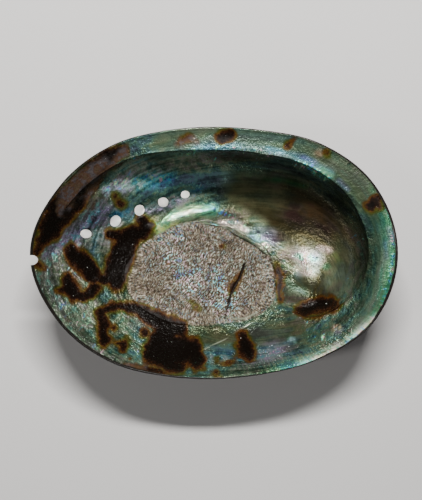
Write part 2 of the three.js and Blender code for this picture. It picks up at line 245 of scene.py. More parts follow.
# Zones of the pearl: (colour, blur, strength, strokes of (x, y, radius)). Some zones paint highlights, glints
# or shade into the colour rather than the pearl's own hue.
PEARL_ZONES = [
    ("sage", 8, 1.0, [(0, 0, 200)]),
    ("teal", 7, 0.6, [(-66, -14, 4), (-58, -30, 4), (-40, -44, 4), (-20, -47, 4), (10, -44, 6)]),
    ("bronze", 9, 0.95, [(10, 22, 6), (26, 16, 10), (44, 4, 10), (46, -12, 8)]),
    ("moss", 6, 0.8, [(6, 29, 4), (16, 28, 4)]),
    ("night", 7, 1.0, [(26, 31, 4), (36, 27, 6), (50, 18, 7), (58, 6, 6), (60, -8, 4)]),
    ("rust", 5, 0.95, [(34, 18, 4), (46, 16, 5), (50, 8, 3)]),
    # Painted soft light below the ledge
    ("painted_light_khaki", 6, 0.7, [(9, 28, 4), (18, 26, 4), (28, 25, 3)]),
    ("espresso", 5, 0.7, [(36, 13, 3), (46, 11, 4), (53, 3, 2)]),
    # Painted green glints under the ledge's edge
    ("forest", 1.5, 0.9, [(22, 32, 0.6), (32, 31.5, 0.8), (40, 29, 0.6)]),
    # Painted half-light: a warm band from the scar's border down past the deep end's highlight
    ("sand", 5, 0.9, [(18, 12, 2), (27, 7, 3), (38, 3, 3), (44, -8, 4)]),
    ("olive", 6, 0.9, [(-14, -38, 4), (2, -36, 6), (20, -34, 7), (38, -33, 6)]),
    ("teal", 4, 0.8, [(-40, 30, 4), (-24, 30, 4), (-6, 32, 4)]),
    ("mist", 5, 0.8, [(-24, 36, 3), (-10, 35, 4), (4, 34, 3)]),
    # Blue patch of the upper wall, partly painted reflection
    ("cyan_and_painted_glints", 3, 0.95, [(-44, 27, 2), (-37, 31, 4), (-28, 33, 4), (-20, 33.5, 3)]),
    ("violet", 2.5, 0.8, [(-33, 36, 2), (-26, 38, 2)]),
    ("rose", 2.5, 0.6, [(-42, 30, 1.8), (-38, 31, 1.2)]),
    ("blue", 3, 0.9, [(-70, -1, 1), (-58, 8, 3), (-46, 17, 4), (-34, 17, 2), (-22, 20, 2), (-6, 28, 1)]),
    ("violet", 3, 0.6, [(-62, 3, 2), (-52, 2, 2), (-44, 12, 2)]),
    # Painted highlight of the fold above the scar: yellow-green at its left end, green along it and a thin
    # white core
    ("lime", 3, 1.0, [(-26, 13, 2), (-22, 9, 2), (-17, 12, 1.5)]),
    ("painted_highlight_mint", 3, 1.0, [(-23, 14, 1), (-10, 18, 2), (-1, 19, 1.5)]),
    ("lime", 2, 0.9, [(-27, 12, 0.8), (-23.5, 9.5, 1)]),
    ("painted_highlight_white", 1, 0.25, [(-17, 16.8, 0.1), (-11, 18.6, 0.3), (-5, 19.6, 0.1)]),
    # Painted highlights on the scar's crinkled upper and right border
    ("painted_highlight_white", 2.5, 0.6, [(19, 11, 1), (25, 8, 1.5)]),
    ("painted_highlight_white", 2, 0.75, [(4, 14, 1), (10, 13, 1.2), (17, 8, 1.5), (23, 4, 1.8)]),
    ("bronze", 4, 1.0, [(38, -18, 4), (46, -18, 3)]),
    # Painted pink light between the scar's border and the deep end's highlight
    ("blush", 3, 0.8, [(22, 6, 1), (31, 1, 1.5), (42, -2, 2.5)]),
    # Painted soft light round the deep end's highlight, then the painted white highlight itself and a painted
    # pale green sheen at its left
    ("painted_light_khaki", 9, 0.9, [(36, -2, 4), (46, -4, 5)]),
    ("painted_highlight_white", 4, 1.0, [(35, -0.5, 0.5), (40, -2.5, 2.6), (45, -3, 1)]),
    ("painted_sheen_celadon", 3, 0.8, [(31, 1, 2)]),
    ("bronze", 3, 0.7, [(42, 9.5, 2), (47, 7, 2.5)]),
    # Painted highlight, greenish white at its foot
    ("pale", 2.5, 0.8, [(37, -7.5, 1.5), (43, -8, 1.5)]),
    ("bronze", 3, 0.9, [(31, -9, 2.5)]),
    # Painted pale green sheen at the lower right of the deep end's highlight
    ("painted_sheen_celadon", 3, 0.5, [(51, -9, 2), (50, -14, 1)]),
    # Painted shade on the dark side of the coil's root
    ("painted_shade_umber", 3, 1.0, [(29, -7, 0.8), (30, -12, 2.5), (31, -19, 3.5), (37, -20, 3)]),
    ("moss", 3, 0.9, [(31, -10, 1.5), (34.5, -15.5, 2), (40, -17, 2)]),
    ("deep", 3, 0.75, [(33, -15.5, 2.5), (40, -17, 2)]),
    # Painted coloured fringes of the deep end's highlight: green, pink and yellow-green
    ("painted_highlight_mint", 1.5, 0.4, [(31.5, -5, 0.8), (33, -7, 0.6)]),
    ("blush", 1.5, 0.7, [(38, -8.5, 1), (41, -9, 0.8)]),
    ("lime", 2, 0.2, [(52.5, -1, 0.6), (54, -4, 0.4)]),
    ("painted_highlight_mint", 1.5, 0.5, [(49, -6, 1)]),
    ("blush", 1.5, 0.6, [(46, 2, 1), (50, 1, 1)]),
    ("grass", 1.5, 0.5, [(30, 3.5, 0.8)]),
    # Painted pale green sheen on the scar's crinkled upper border
    ("painted_sheen_celadon", 3, 0.9, [(11, 18, 1.8), (21, 12.5, 2)]),
    ("moss", 2, 0.6, [(53, 7, 1), (55, 0, 1.2), (54, -6, 1)]),
    ("grass", 3, 0.3, [(-38, -28, 2), (-35, -34, 2.5)]),
    ("violet", 3, 0.4, [(-33, -31, 2), (-28, -36, 2)]),
    ("deep", 3, 0.5, [(-36, -27, 1.5), (-31, -29, 1.5)]),
    ("moss", 4, 0.9, [(-14, -33.5, 1), (-4, -34, 2), (6, -33, 2)]),
    ("violet", 4, 0.5, [(20, -43, 2), (26, -41, 3), (32, -40, 2)]),
    ("blue", 3, 0.7, [(-3, -44, 2), (19, -44, 2), (25, -42, 2)]),
    ("grass", 3, 0.8, [(64, 26, 2), (70, 10, 2), (71, -4, 2), (68, -16, 2)]),
    ("deep", 3, 0.95, [(41, -34, 3), (50, -30, 3.5), (58, -24, 3), (64, -13, 3.5), (66, 0, 3.5),
                     (64.5, 14, 3.5), (58, 26, 3)]),
    ("ray", 2, 0.9, [(71, 14, 0.8), (73.5, 0, 1.0), (70.5, -16, 1.2), (60, -35, 1.5), (44, -44, 1.5),
                     (20, -50, 1.2)]),
    # Painted green and violet glints on the right rim
    ("painted_highlight_mint", 1.5, 0.6, [(73.5, 4, 0.1), (73.5, -8, 0.2), (69, -22, 0.4)]),
    ("violet", 2, 0.7, [(71.5, 10, 0.8), (72, 5, 0.5)]),
    # Painted highlight along the lower right rim
    ("frost_and_painted_highlight", 2.2, 1.0, [(66, -26, 0.8), (61, -32, 1.8), (53, -38.5, 1.8), (43, -43.5, 1.8), (35, -46, 1)]),
    ("slate", 4, 1.0, [(-24, 44, 3), (0, 47, 3), (20, 45, 3), (42, 38, 4), (58, 27, 4), (64, 20, 3)]),
    ("deep", 4, 0.6, [(36, 41, 3), (48, 34, 3), (58, 29, 3), (63, 23, 2)]),
    # Painted blue glints along the ledge's inner roll
    ("cyan_and_painted_glints", 3, 0.35, [(-7, 43, 0.6), (6, 43.4, 0.5), (20, 42, 0.4), (33, 38.8, 0.4), (47, 32.5, 0.5)]),
    ("mist", 4, 0.9, [(-42, 33, 2), (-26, 37.5, 2.5), (-6, 38.5, 2)]),
    # Painted shade along the ledge's inner edge, where it rolls down
    ("painted_shade_umber", 3, 0.9, [(0, 40.5, 0.2), (12, 40.4, 1.2), (28, 37.5, 1.4), (42, 31.5, 1.4), (54, 22, 1)]),
    ("peach", 2, 0.8, [(51, -31.5, 1.2)]),
    ("deep", 0.9, 0.9, [(31.5, -36, 1.3), (34.6, -37, 1.1)]),
    ("frost_and_painted_highlight", 0.8, 0.6, [(32.2, -36.2, 0.5), (34, -36.9, 0.4)]),
    ("peach", 2, 0.6, [(43, 41, 1)]),
    # Painted glints on the ledge: short violet, green and blue strokes
    ("violet", 1.5, 0.7, [(36.5, 39, 0.6), (41, 37, 0.6)]),
    ("painted_highlight_mint", 1.5, 0.6, [(44, 34, 0.5), (47.5, 31.5, 0.5)]),
    ("cyan_and_painted_glints", 1.5, 0.6, [(22, 42.5, 0.4), (28, 41, 0.5)]),
    ("violet", 1.5, 0.6, [(51, 29.5, 0.5), (54.5, 26, 0.5)]),
    ("painted_highlight_mint", 1.5, 0.8, [(70.5, 17, 0.5), (72.5, 11, 0.5)]),
    ("cyan_and_painted_glints", 1.5, 0.7, [(73, 8, 0.4), (73.4, 5, 0.3)]),
    ("violet", 1.5, 0.5, [(70, 4, 0.4), (70.5, -2, 0.4)]),
]
# Where the pearl's crinkled edge laps over the scar; its brightness is wrinkle relief and painted highlight
SCAR_SHEEN = [(-3, 15, 1.2), (6, 14.5, 2), (13, 9.5, 2.2), (20, 5, 2.4), (23, 2, 1.5)]
# Middle of the scar, where blue and green glints are painted
SCAR_GLINTS = [(-18, 6, 2), (-13, -2, 5), (-6, -11, 6), (4, -20, 3)]
# The convex fold above the scar that catches the light
BRIGHT_FOLD = [(-27, 10.5), (-20, 13.5), (-11, 16.5), (0, 18.5), (8, 18)]
SHEEN_WIDTH = 2.0
FOLD_WIDTH = 2.1
# Where small bright glints are painted on the pearl: (blur, strength, strokes)
GLINTING = [
    (8, 0.5, [(-62, -4, 3), (-60, -22, 7), (-45, -40, 5)]),
    (2.5, 1.1, [(-16, 40.5, 0.2), (-2, 43.3, 0.4), (14, 42.8, 0.4), (28, 40, 0.4),
                (40, 35.5, 0.6), (49, 30, 0.4)]),
    (2.5, 1.0, [(70, 16, 0.5), (73, 2, 0.8), (72, -10, 0.8), (67, -25, 0.8),
                (55, -37.5, 1), (38, -45.5, 0.8), (20, -50, 0.4)]),
    (6, 0.9, [(-45, 28, 3), (-32, 32, 3), (-18, 33, 2)]),
    (3, 1.0, [(-26, 12, 1), (-20, 14.5, 1), (-11, 18, 1), (0, 19.5, 1), (8, 16, 1), (17, 9, 1), (24, 3, 1)]),
    (6, 0.7, [(-4, -45, 2), (12, -45, 1), (26, -42, 2)]),
]
# Smooth, calm parts of the pearl: (blur, strength, strokes)
POLISHED = [
    (5, 1.0, [(10, 29, 7), (26, 24, 13), (44, 10, 14), (50, -8, 11), (38, -14, 5)]),
    (6, 0.75, [(-10, -38, 3), (10, -36, 5), (32, -34, 6)]),
    (2.5, 0.7, [(-21, 14.5, 0.3), (-11, 18, 1), (0, 19.5, 0.6)]),
    (3, 0.75, [(-20, 46, 5), (0, 48, 5), (20, 46, 5), (40, 40, 5), (58, 28, 5), (70, 8, 5),
                (71, -8, 5), (60, -30, 4)]),
]


def around(rows, degrees, item=1):
    """Value of a closed list of (degrees, ...) rows on a smooth curve through the rows."""
    table = np.array(rows, float)
    count = len(table)
    k = np.arange(-2, count + 3)
    angle = table[k % count, 0] + 360.0 * (k // count)
    value = table[k % count, item]
    slope = np.zeros(len(k))
    slope[1:-1] = (value[2:] - value[:-2]) / (angle[2:] - angle[:-2])
    a = np.mod(degrees, 360.0)
    i = np.searchsorted(angle, a, side="right") - 1
    step = angle[i + 1] - angle[i]
    t = (a - angle[i]) / step
    rise = value[i + 1] - value[i]
    bend0 = slope[i] * step - rise
    bend1 = rise - slope[i + 1] * step
    return value[i] + t * rise + t * (1 - t) * ((1 - t) * bend0 + t * bend1)


def smooth(t):
    """0 below 0, 1 above 1, and an easy curve between."""
    t = np.clip(t, 0, 1)
    return t * t * (3 - 2 * t)


def degrees_of(x, y):
    """Turn of a place round the origin."""
    return np.degrees(np.arctan2(y, x))


def rim_height(degrees):
    """Height of the rim, which rises a little at both ends."""
    return RIM_HEIGHT + RIM_SWING * np.cos(2 * np.radians(degrees))


def stroke_distance(x, y, points):
    """Distance in plan from a tapering stroke of (x, y, radius), negative inside it."""
    best = np.full(np.shape(x), np.inf)
    points = [(*p, 0.0)[:3] for p in points]
    if len(points) == 1:
        points = points * 2
    for (ax, ay, ar), (bx, by, br) in zip(points, points[1:]):
        dx, dy = bx - ax, by - ay
        t = np.clip(((x - ax) * dx + (y - ay) * dy) / max(dx * dx + dy * dy, 1e-9), 0, 1)
        away = np.hypot(x - ax - t * dx, y - ay - t * dy) - (ar + t * (br - ar))
        best = np.minimum(best, away)
    return best


def back_height(x, y):
    """Height of the smooth back at a place in plan."""
    a = degrees_of(x, y)
    share = np.minimum(1, np.hypot(x, y) / around(RIM_REACH, a))
    open_part = around(STEEPNESS, a)
    power = share**PROFILE_POWER
    profile = open_part * power + (1 - open_part) * (1 - (1 - power) ** WALL_POWER)
    middle = 1 - share * share
    shift = DEEP_SHIFT[0] * x + DEEP_SHIFT[1] * y - BACK_LIFT
    away = np.hypot(x - APEX[0], y - APEX[1]) / SPIRE_RADIUS
    return rim_height(a) * profile - shift * middle - SPIRE_RISE * np.exp(-away * away)


def beside(x, y, points, width):
    """1 on a line of strokes, fading to 0 about two widths off it."""
    return np.exp(-((stroke_distance(x, y, points) / width) ** 2))


def hole_line(x, y):
    """1 on the line of the holes and their closed bumps, fading to 0 a few millimetres off it."""
    line = [NOTCH, *[h[:2] for h in HOLES], *[h[:2] for h in CLOSED_HOLES]]
    return beside(x, y, line, GROOVE_WIDTH)


def scar_depth(x, y):
    """How far inside the scar's outline a place is, in mm; negative outside it."""
    a = degrees_of(x - SCAR[0], y - SCAR[1])
    return around(SCAR_REACH, a) - np.hypot(x - SCAR[0], y - SCAR[1])


def floor_height(x, y):
    """Height of the floor inside, with the scar's pad, the columella and the groove of the holes."""
    back = back_height(x, y)
    pad = smooth(scar_depth(x, y) / SCAR_EDGE + 0.5) * np.maximum(0.4, SCAR_RISE - SCAR_FADE * back)
    root = np.hypot(x - COLUMELLA[0], y - COLUMELLA[1]) / COLUMELLA_RADIUS
    swelling = COLUMELLA_RISE * np.exp(-root * root)
    return back + WALL_THICKNESS + pad + swelling - GROOVE_DEPTH * hole_line(x, y)


def plain_height(x, y):
    """Height inside where no ledge hangs over: the floor run up to the lip."""
    lip = rim_height(degrees_of(x, y))
    low = np.exp(-floor_height(x, y) / FLOOR_BLEND) + np.exp(-lip / FLOOR_BLEND)
    return -FLOOR_BLEND * np.log(low)


def columns_of(count):
    """Places round the rim for the columns of the grid: turn, rim point and run towards the spine."""
    u = np.linspace(0, 2 * math.pi, count + 1)
    a = np.arctan2(HALF_WIDTH * np.sin(u), HALF_LENGTH * np.cos(u))
    reach = around(RIM_REACH, np.degrees(a))
    rim = np.stack([reach * np.cos(a), reach * np.sin(a)], 1)
    along = ((1 + np.cos(u)) / 2)[:, None]
    spine = (1 - along) * np.array(SPINE_START) + along * np.array(SPINE_END)
    run = (spine - rim) / np.linalg.norm(spine - rim, axis=1)[:, None]
    inner = (1 - along) * np.array(SCAR_SPINE_START) + along * np.array(SCAR_SPINE_END)
    return {"turn": np.degrees(u), "rim": rim, "run": run, "inner": inner, "rim_turn": np.degrees(a)}


def back_ring(columns, share):
    """A ring of the back, at a share of the way from the spire to the rim."""
    p = np.array(APEX) + (columns["rim"] - np.array(APEX)) * share
    top = rim_height(degrees_of(p[:, 0], p[:, 1])) - LIP_ROUND
    return np.column_stack([p, np.minimum(back_height(p[:, 0], p[:, 1]), top)])


def lip_ring(columns, share):
    """The rounded top of the lip, from its outer side to where the ledge starts."""
    turn = share * math.pi / 2
    p = columns["rim"] + columns["run"] * LIP_ROUND * (1 - math.cos(turn))
    return np.column_stack([p, rim_height(columns["rim_turn"]) - LIP_ROUND * (1 - math.sin(turn))])


def ledge_ring(columns, share):
    """A ring of the dished ledge; where it isn't sharp it follows the floor."""
    width = around(LEDGE, columns["turn"], 1)
    sharp = np.clip(around(LEDGE, columns["turn"], 3), 0, 1)
    inset = LIP_ROUND + (width - LIP_ROUND) * share
    p = columns["rim"] + columns["run"] * inset[:, None]
    rim_top = rim_height(columns["rim_turn"])
    edge = around(LEDGE, columns["turn"], 2)
    ledge = rim_top + (edge - rim_top) * share - LEDGE_DISH * math.sin(math.pi * share**0.5)
    plain = plain_height(p[:, 0], p[:, 1])
    return np.column_stack([p, plain + sharp * (ledge - plain)])


def drop_ring(columns, share):
    """A ring of the drop under the ledge, tucked in beneath its edge."""
    width = around(LEDGE, columns["turn"], 1)
    sharp = np.clip(around(LEDGE, columns["turn"], 3), 0, 1)
    p = columns["rim"] + columns["run"] * (width + DROP_REACH * share)[:, None]
    plain = plain_height(p[:, 0], p[:, 1])
    height = plain + sharp * (around(LEDGE, columns["turn"], 2) - plain) * (1 - smooth(share))
    tuck = sharp * UNDERCUT * math.sin(math.pi * share**0.75)
    return np.column_stack([p - columns["run"] * tuck[:, None], height])


def floor_rings(columns, outer_count, scar_count):
    """Rings from the foot of the drop to the scar's border, then closer ones over the scar."""
    foot = columns["rim"] + columns["run"] * (around(LEDGE, columns["turn"], 1) + DROP_REACH)[:, None]
    steps = np.linspace(0, 1, SEARCH_STEPS + 1)[:, None, None]
    line = foot + steps * (columns["inner"] - foot)
    inside = scar_depth(line[..., 0], line[..., 1]) > -SCAR_MARGIN
    border = np.argmax(inside, axis=0) / SEARCH_STEPS
    rings = [border * k / outer_count for k in range(1, outer_count + 1)]
    rings += [border + (1 - border) * k / scar_count for k in range(1, scar_count + 1)]
    made = []
    for share in rings:
        p = foot + (columns["inner"] - foot) * share[:, None]
        made.append(np.column_stack([p, plain_height(p[:, 0], p[:, 1])]))
    return made


def clouds(points, size, seed):
    """Soft noise from about -1 to 1 at an array of points in mm; size is the width of a lump."""
    return np.array([noise.noise(p) for p in (points / size + seed * SEED_STEP).tolist()])


def lumps(points, rows):
    """Sum of the soft noises of rows of (height, width of a lump, seed), in mm."""
    return sum(height * clouds(points, size, seed) for height, size, seed in rows)


def hole_gap(x, y):
    """Distance in plan from the nearest hole's edge in mm, negative inside the hole."""
    gap = np.hypot(x - NOTCH[0], y - NOTCH[1]) - NOTCH_RADIUS
    for hx, hy, along, across, turn in HOLES:
        c, s = math.cos(math.radians(turn)), math.sin(math.radians(turn))
        u = ((x - hx) * c + (y - hy) * s) / (along / 2)
        v = ((y - hy) * c - (x - hx) * s) / (across / 2)
        gap = np.minimum(gap, (np.hypot(u, v) - 1) * (along + across) / 4)
    return gap


def stroke_places(x, y):
    """Coordinates in mm whose first two run across the strokes of the scar and whose last runs along
    them: one set for strokes that run up to the right, one for strokes that spread from the middle."""
    flat = np.stack([x, y, np.zeros_like(x)], 1)
    u = x + lumps(flat, STROKE_BENDS[0])
    v = y + lumps(flat, STROKE_BENDS[1])
    c, s = math.cos(math.radians(STROKE_TURN)), math.sin(math.radians(STROKE_TURN))
    even = np.stack([v * c - u * s, 0 * u, (u * c + v * s) / STROKE_LENGTH], 1)
    a = np.arctan2(v - SCAR[1], u - SCAR[0])
    away = np.hypot(u - SCAR[0], v - SCAR[1])
    spread = np.stack([SPREAD_RADIUS * np.cos(a), SPREAD_RADIUS * np.sin(a), away / STROKE_LENGTH], 1)
    return even, spread


def strongest(x, y, rows):
    """Greatest strength at a place among rows of (blur, strength, strokes)."""
    share = np.zeros(np.shape(x))
    for blur, strength, points in rows:
        share = np.maximum(share, strength * smooth(0.5 - stroke_distance(x, y, points) / (2 * blur)))
    return share


def inside_relief(co, form):
    """Relief of the inside along its normal, in mm."""
    x, y = co[:, 0], co[:, 1]
    depth = scar_depth(x, y)
    on_scar = smooth(depth / ROUGH_EDGE + 0.6)
    unpolished = 1 - POLISHING * strongest(x, y, POLISHED)
    crinkles = lumps(co, WIDE_LUMPS) + unpolished * lumps(co, PEARL_LUMPS)
    even, spread = stroke_places(x, y)
    near_border = smooth((SPREAD_FROM - depth) / SPREAD_OVER)
    strokes = (1 - near_border) * lumps(even, EVEN_STROKES) + near_border * lumps(spread, SPREAD_STROKES)
    rough = strokes + lumps(co, SCAR_LUMPS)
    sheen = beside(x, y, SCAR_SHEEN, SHEEN_WIDTH)
    on_border = np.exp(-((depth - BORDER_PLACE) ** 2) / BORDER_WIDTH)
    marks = on_border * (lumps(co, BORDER_LUMPS) + BORDER_SHEEN * sheen)
    marks += sheen * lumps(spread, WRINKLES)
    marks += form.fold_rise / MM * beside(x, y, BRIGHT_FOLD, FOLD_WIDTH)
    for line, width, height in FINE_LINES:
        marks += height * beside(x, y, line, width)
    away = np.hypot((x - BLISTER[0]) / BLISTER_SIZE[0], (y - BLISTER[1]) / BLISTER_SIZE[1])
    marks += BLISTER_RISE * smooth(1.25 - away) - BLISTER_MOAT * np.exp(-((away - 1.35) ** 2) / 0.05)
    marks += GROOVE_DEPTH * hole_line(x, y) * smooth((x - GROOVE_END) / GROOVE_RUN_OUT)
    off_hole = smooth(hole_gap(x, y) / HOLE_CALM)
    return off_hole * (crinkles * (1 - 0.5 * on_scar) + on_scar * rough + marks)


def growth_share(x, y):
    """Share of the way from the spire to the rim at a place on the back."""
    u = np.linspace(0, 2 * math.pi, 721)
    a = np.arctan2(HALF_WIDTH * np.sin(u), HALF_LENGTH * np.cos(u))
    reach = around(RIM_REACH, np.degrees(a))
    dx, dy = reach * np.cos(a) - APEX[0], reach * np.sin(a) - APEX[1]
    turn = np.unwrap(np.arctan2(dy, dx))
    away = np.hypot(dx, dy)
    seen = np.arctan2(y - APEX[1], x - APEX[0])
    seen = turn[0] + np.mod(seen - turn[0], 2 * math.pi)
    return np.hypot(x - APEX[0], y - APEX[1]) / np.interp(seen, turn, away)


def back_relief(co, form):
    """Relief of the back, outwards: growth steps, cords, the coiled suture and the row of bumps."""
    x, y = co[:, 0], co[:, 1]
    share = growth_share(x, y)
    away = np.hypot(x - APEX[0], y - APEX[1])
    turn = np.arctan2(y - APEX[1], x - APEX[0])
    wobble = lumps(co, BACK_WOBBLE)
    growth = np.maximum(share, 0.001) * GROWTH_STEPS + wobble
    fade = smooth((1 - share) * 12)
    steps = (growth - np.floor(growth)) * form.growth_rise / MM * smooth(share * 3)
    fine = np.mod(share * GROWTH_STEPS * FINE_STEPS + 3 * wobble, 1.0) * FINE_RISE
    curl = turn + CORD_CURL * np.log(np.maximum(share, 0.02))
    cords = form.cord_rise / MM * np.cos(CORDS * curl + lumps(co, CORD_WOBBLE)) * smooth(share * 4)
    coil = np.cos(np.log(np.maximum(away, 0.5)) / COIL_GROWTH - turn)
    suture = -form.suture_depth / MM * np.exp(-((away / SPIRE_RADIUS) ** 2)) * coil
    crust = lumps(co, CRUST_LUMPS)
    ridge = GROOVE_DEPTH * hole_line(x, y)
    bumps = np.zeros(len(co))
    rise = form.bump_rise / MM
    rows = [(hx, hy, (al + ac) / 4 + BUMP_MARGIN, rise) for hx, hy, al, ac, _ in HOLES]
    rows += [(hx, hy, r, CLOSED_SHARE * rise) for hx, hy, r in CLOSED_HOLES]
    for hx, hy, radius, rise in rows:
        r = np.hypot(x - hx, y - hy) / radius
        bumps = np.maximum(bumps, rise * smooth(BUMP_FOOT - r))
    return (steps + fine + cords + suture + crust) * fade + ridge * fade + bumps


def new_mesh_object(name, bm, materials):
    """Makes an object of a bmesh and its materials, and links it to the scene."""
    mesh = bpy.data.meshes.new(name)
    bm.to_mesh(mesh)
    bm.free()
    for material in materials:
        mesh.materials.append(material)
    made = bpy.data.objects.new(name, mesh)
    bpy.context.scene.collection.objects.link(made)
    return made


def skin(form):
    """The shell's closed skin as a bmesh in mm: a grid moved onto its rings and welded."""
    columns = columns_of(form.columns)
    turns = [math.pi / 2 * k / form.back_rings for k in range(form.back_rings + 1)]
    rings = [back_ring(columns, math.sin(turn)) for turn in turns]
    crust_rings = len(rings)
    for ring, count in ((lip_ring, LIP_STEPS), (ledge_ring, form.ledge_rings), (drop_ring, form.drop_rings)):
        rings += [ring(columns, k / count) for k in range(1, count + 1)]
    rings += floor_rings(columns, form.floor_rings, form.scar_rings)
    rings[-1][:, :] = 0.5 * (rings[-1] + rings[-1][::-1])
    places = np.array(rings)
    bm = bmesh.new()
    bmesh.ops.create_grid(bm, x_segments=form.columns, y_segments=len(rings) - 1, size=1)
    for face in bm.faces:
        face.smooth = True
    for vert in bm.verts:
        column = round((vert.co.x + 1) / 2 * form.columns)
        row = round((vert.co.y + 1) / 2 * (len(rings) - 1))
        vert.co = Vector(places[row, column])
        vert.index = row
    for face in bm.faces:
        face.material_index = 1 if max(v.index for v in face.verts) < crust_rings else 0
    bmesh.ops.remove_doubles(bm, verts=bm.verts, dist=WELD)
    bmesh.ops.recalc_face_normals(bm, faces=bm.faces)
    return bm


def hole_cutters():
    """Flared oval plugs for the breathing holes and the notch, as one bmesh in mm."""
    bm = bmesh.new()
    for x, y, along, across, turn in HOLES:
        place = Matrix.Translation((x, y, float(back_height(np.array(x), np.array(y)))))
        place = place @ Matrix.Rotation(math.radians(turn), 4, "Z")
        place = place @ Matrix.Diagonal((along / 2, across / 2, PLUG_HEIGHT, 1))
        bmesh.ops.create_cone(
            bm, cap_ends=True, segments=HOLE_SIDES, radius1=HOLE_FLARE, radius2=1 / HOLE_FLARE, depth=1,
            matrix=place,
        )
    place = Matrix.Translation((NOTCH[0], NOTCH[1], RIM_HEIGHT))
    bmesh.ops.create_cone(
        bm, cap_ends=True, segments=HOLE_SIDES, radius1=NOTCH_RADIUS * HOLE_FLARE, radius2=NOTCH_RADIUS,
        depth=NOTCH_PLUG_HEIGHT, matrix=place,
    )
    return bm


def cut(body, cutter):
    """Cuts the cutter out of the body for good, and removes the cutter."""
    modifier = body.modifiers.new("holes", "BOOLEAN")
    modifier.operation = "DIFFERENCE"
    modifier.solver = "MANIFOLD"
    modifier.object = cutter
    bpy.context.view_layer.update()
    graph = bpy.context.evaluated_depsgraph_get()
    seen = body.evaluated_get(graph)
    mesh = bpy.data.meshes.new_from_object(seen, preserve_all_data_layers=True, depsgraph=graph)
    old = body.data
    body.modifiers.clear()
    body.data = mesh
    mesh.name = old.name
    bpy.data.meshes.remove(old)
    bpy.data.objects.remove(cutter)


def ease_hole_edges(body):
    """Rounds the sharp edges that the cutters leave, and splits their many-sided faces."""
    bm = bmesh.new()
    bm.from_mesh(body.data)
    bmesh.ops.triangulate(bm, faces=[f for f in bm.faces if len(f.verts) > 4])
    near = []
    for vert in bm.verts:
        for x, y, along, across, _ in HOLES:
            if math.hypot(vert.co.x - x, vert.co.y - y) < max(along, across) / 2 * HOLE_FLARE + EDGE_REACH:
                near.append(vert)
                break
    for _ in range(EDGE_PASSES):
        bmesh.ops.smooth_vert(
            bm, verts=near, factor=0.5, use_axis_x=True, use_axis_y=True, use_axis_z=True
        )
    bmesh.ops.recalc_face_normals(bm, faces=bm.faces)
    bm.to_mesh(body.data)
    bm.free()


def coordinates(mesh):
    """Places of a mesh's vertices, as rows of x, y and z."""
    co = np.empty(len(mesh.vertices) * 3)
    mesh.vertices.foreach_get("co", co)
    return co.reshape(-1, 3)


def set_attribute(mesh, name, kind, values):
    """Writes one value, three or four per vertex as a named attribute that materials can read."""
    layer = mesh.attributes.new(name, kind, "POINT")
    key = {"FLOAT": "value", "FLOAT_VECTOR": "vector", "FLOAT_COLOR": "color"}[kind]
    layer.data.foreach_set(key, np.ascontiguousarray(values, np.float32).ravel())


def linear(code, alpha=1.0):
    """A colour written as sRGB hex, such as 6f8f86, as linear values."""
    channels = [int(code[i : i + 2], 16) / 255 for i in (0, 2, 4)]
    return [c / 12.92 if c <= 0.04045 else ((c + 0.055) / 1.055) ** 2.4 for c in channels] + [alpha]


def solid(colour):
    """Four linear values of a colour given as sRGB hex or as three linear values."""
    return linear(colour) if isinstance(colour, str) else [*colour, 1.0]


def pearl_tint(x, y, colours):
    """Colour of the pearl before its fine variation, blended from the zones."""
    tint = np.zeros((len(x), 4))
    for name, blur, strength, points in PEARL_ZONES:
        share = strength * smooth(0.5 - stroke_distance(x, y, points) / (2 * blur))
        tint += share[:, None] * (np.array([*getattr(colours, name), SHINE.get(name, PLAIN_SHINE)]) - tint)
    return tint


def rise(name, description, height):
    """A height of the relief that a user can change, from its millimetres."""
    return bpy.props.FloatProperty(name=name, description=description, default=height * MM, unit="LENGTH")


def divisions(name, description, count, least):
    """How many times the skin is divided one way."""
    return bpy.props.IntProperty(name=name, description=description, default=count, min=least)


def power(name, description, default):
    """A strength of light that a user can change."""
    return bpy.props.FloatProperty(name=name, description=description, default=default, min=0)


class ShellForm(bpy.types.PropertyGroup):
    """Heights of the relief, and how finely the skin is divided."""

    fold_rise: rise("Fold rise", "Height of the bright fold above the scar", 1.0)
    growth_rise: rise("Growth steps", "Height of the back's growth steps", 0.55)
    cord_rise: rise("Cord rise", "Height of the back's spiral cords", 0.34)
    suture_depth: rise("Suture depth", "Depth of the coiled seam of the spire", 0.9)
    bump_rise: rise("Bump rise", "Height of the back's bump at a breathing hole", 1.7)
    columns: divisions("Columns", "Divisions round the rim", 384, 48)
    back_rings: divisions("Back rings", "Divisions from spire to lip", 92, 12)
    ledge_rings: divisions("Ledge rings", "Divisions across the ledge", 18, 4)
    drop_rings: divisions("Drop rings", "Divisions down the drop", 16, 4)
    floor_rings: divisions("Floor rings", "Divisions to the scar", 36, 6)
    scar_rings: divisions("Scar rings", "Divisions over the scar", 64, 6)


def shade(name, code, description):
    """A colour that a user can change, from its sRGB hex."""
    return bpy.props.FloatVectorProperty(
        name=name, description=description, default=linear(code)[:3], subtype="COLOR", size=3, min=0, max=1
    )


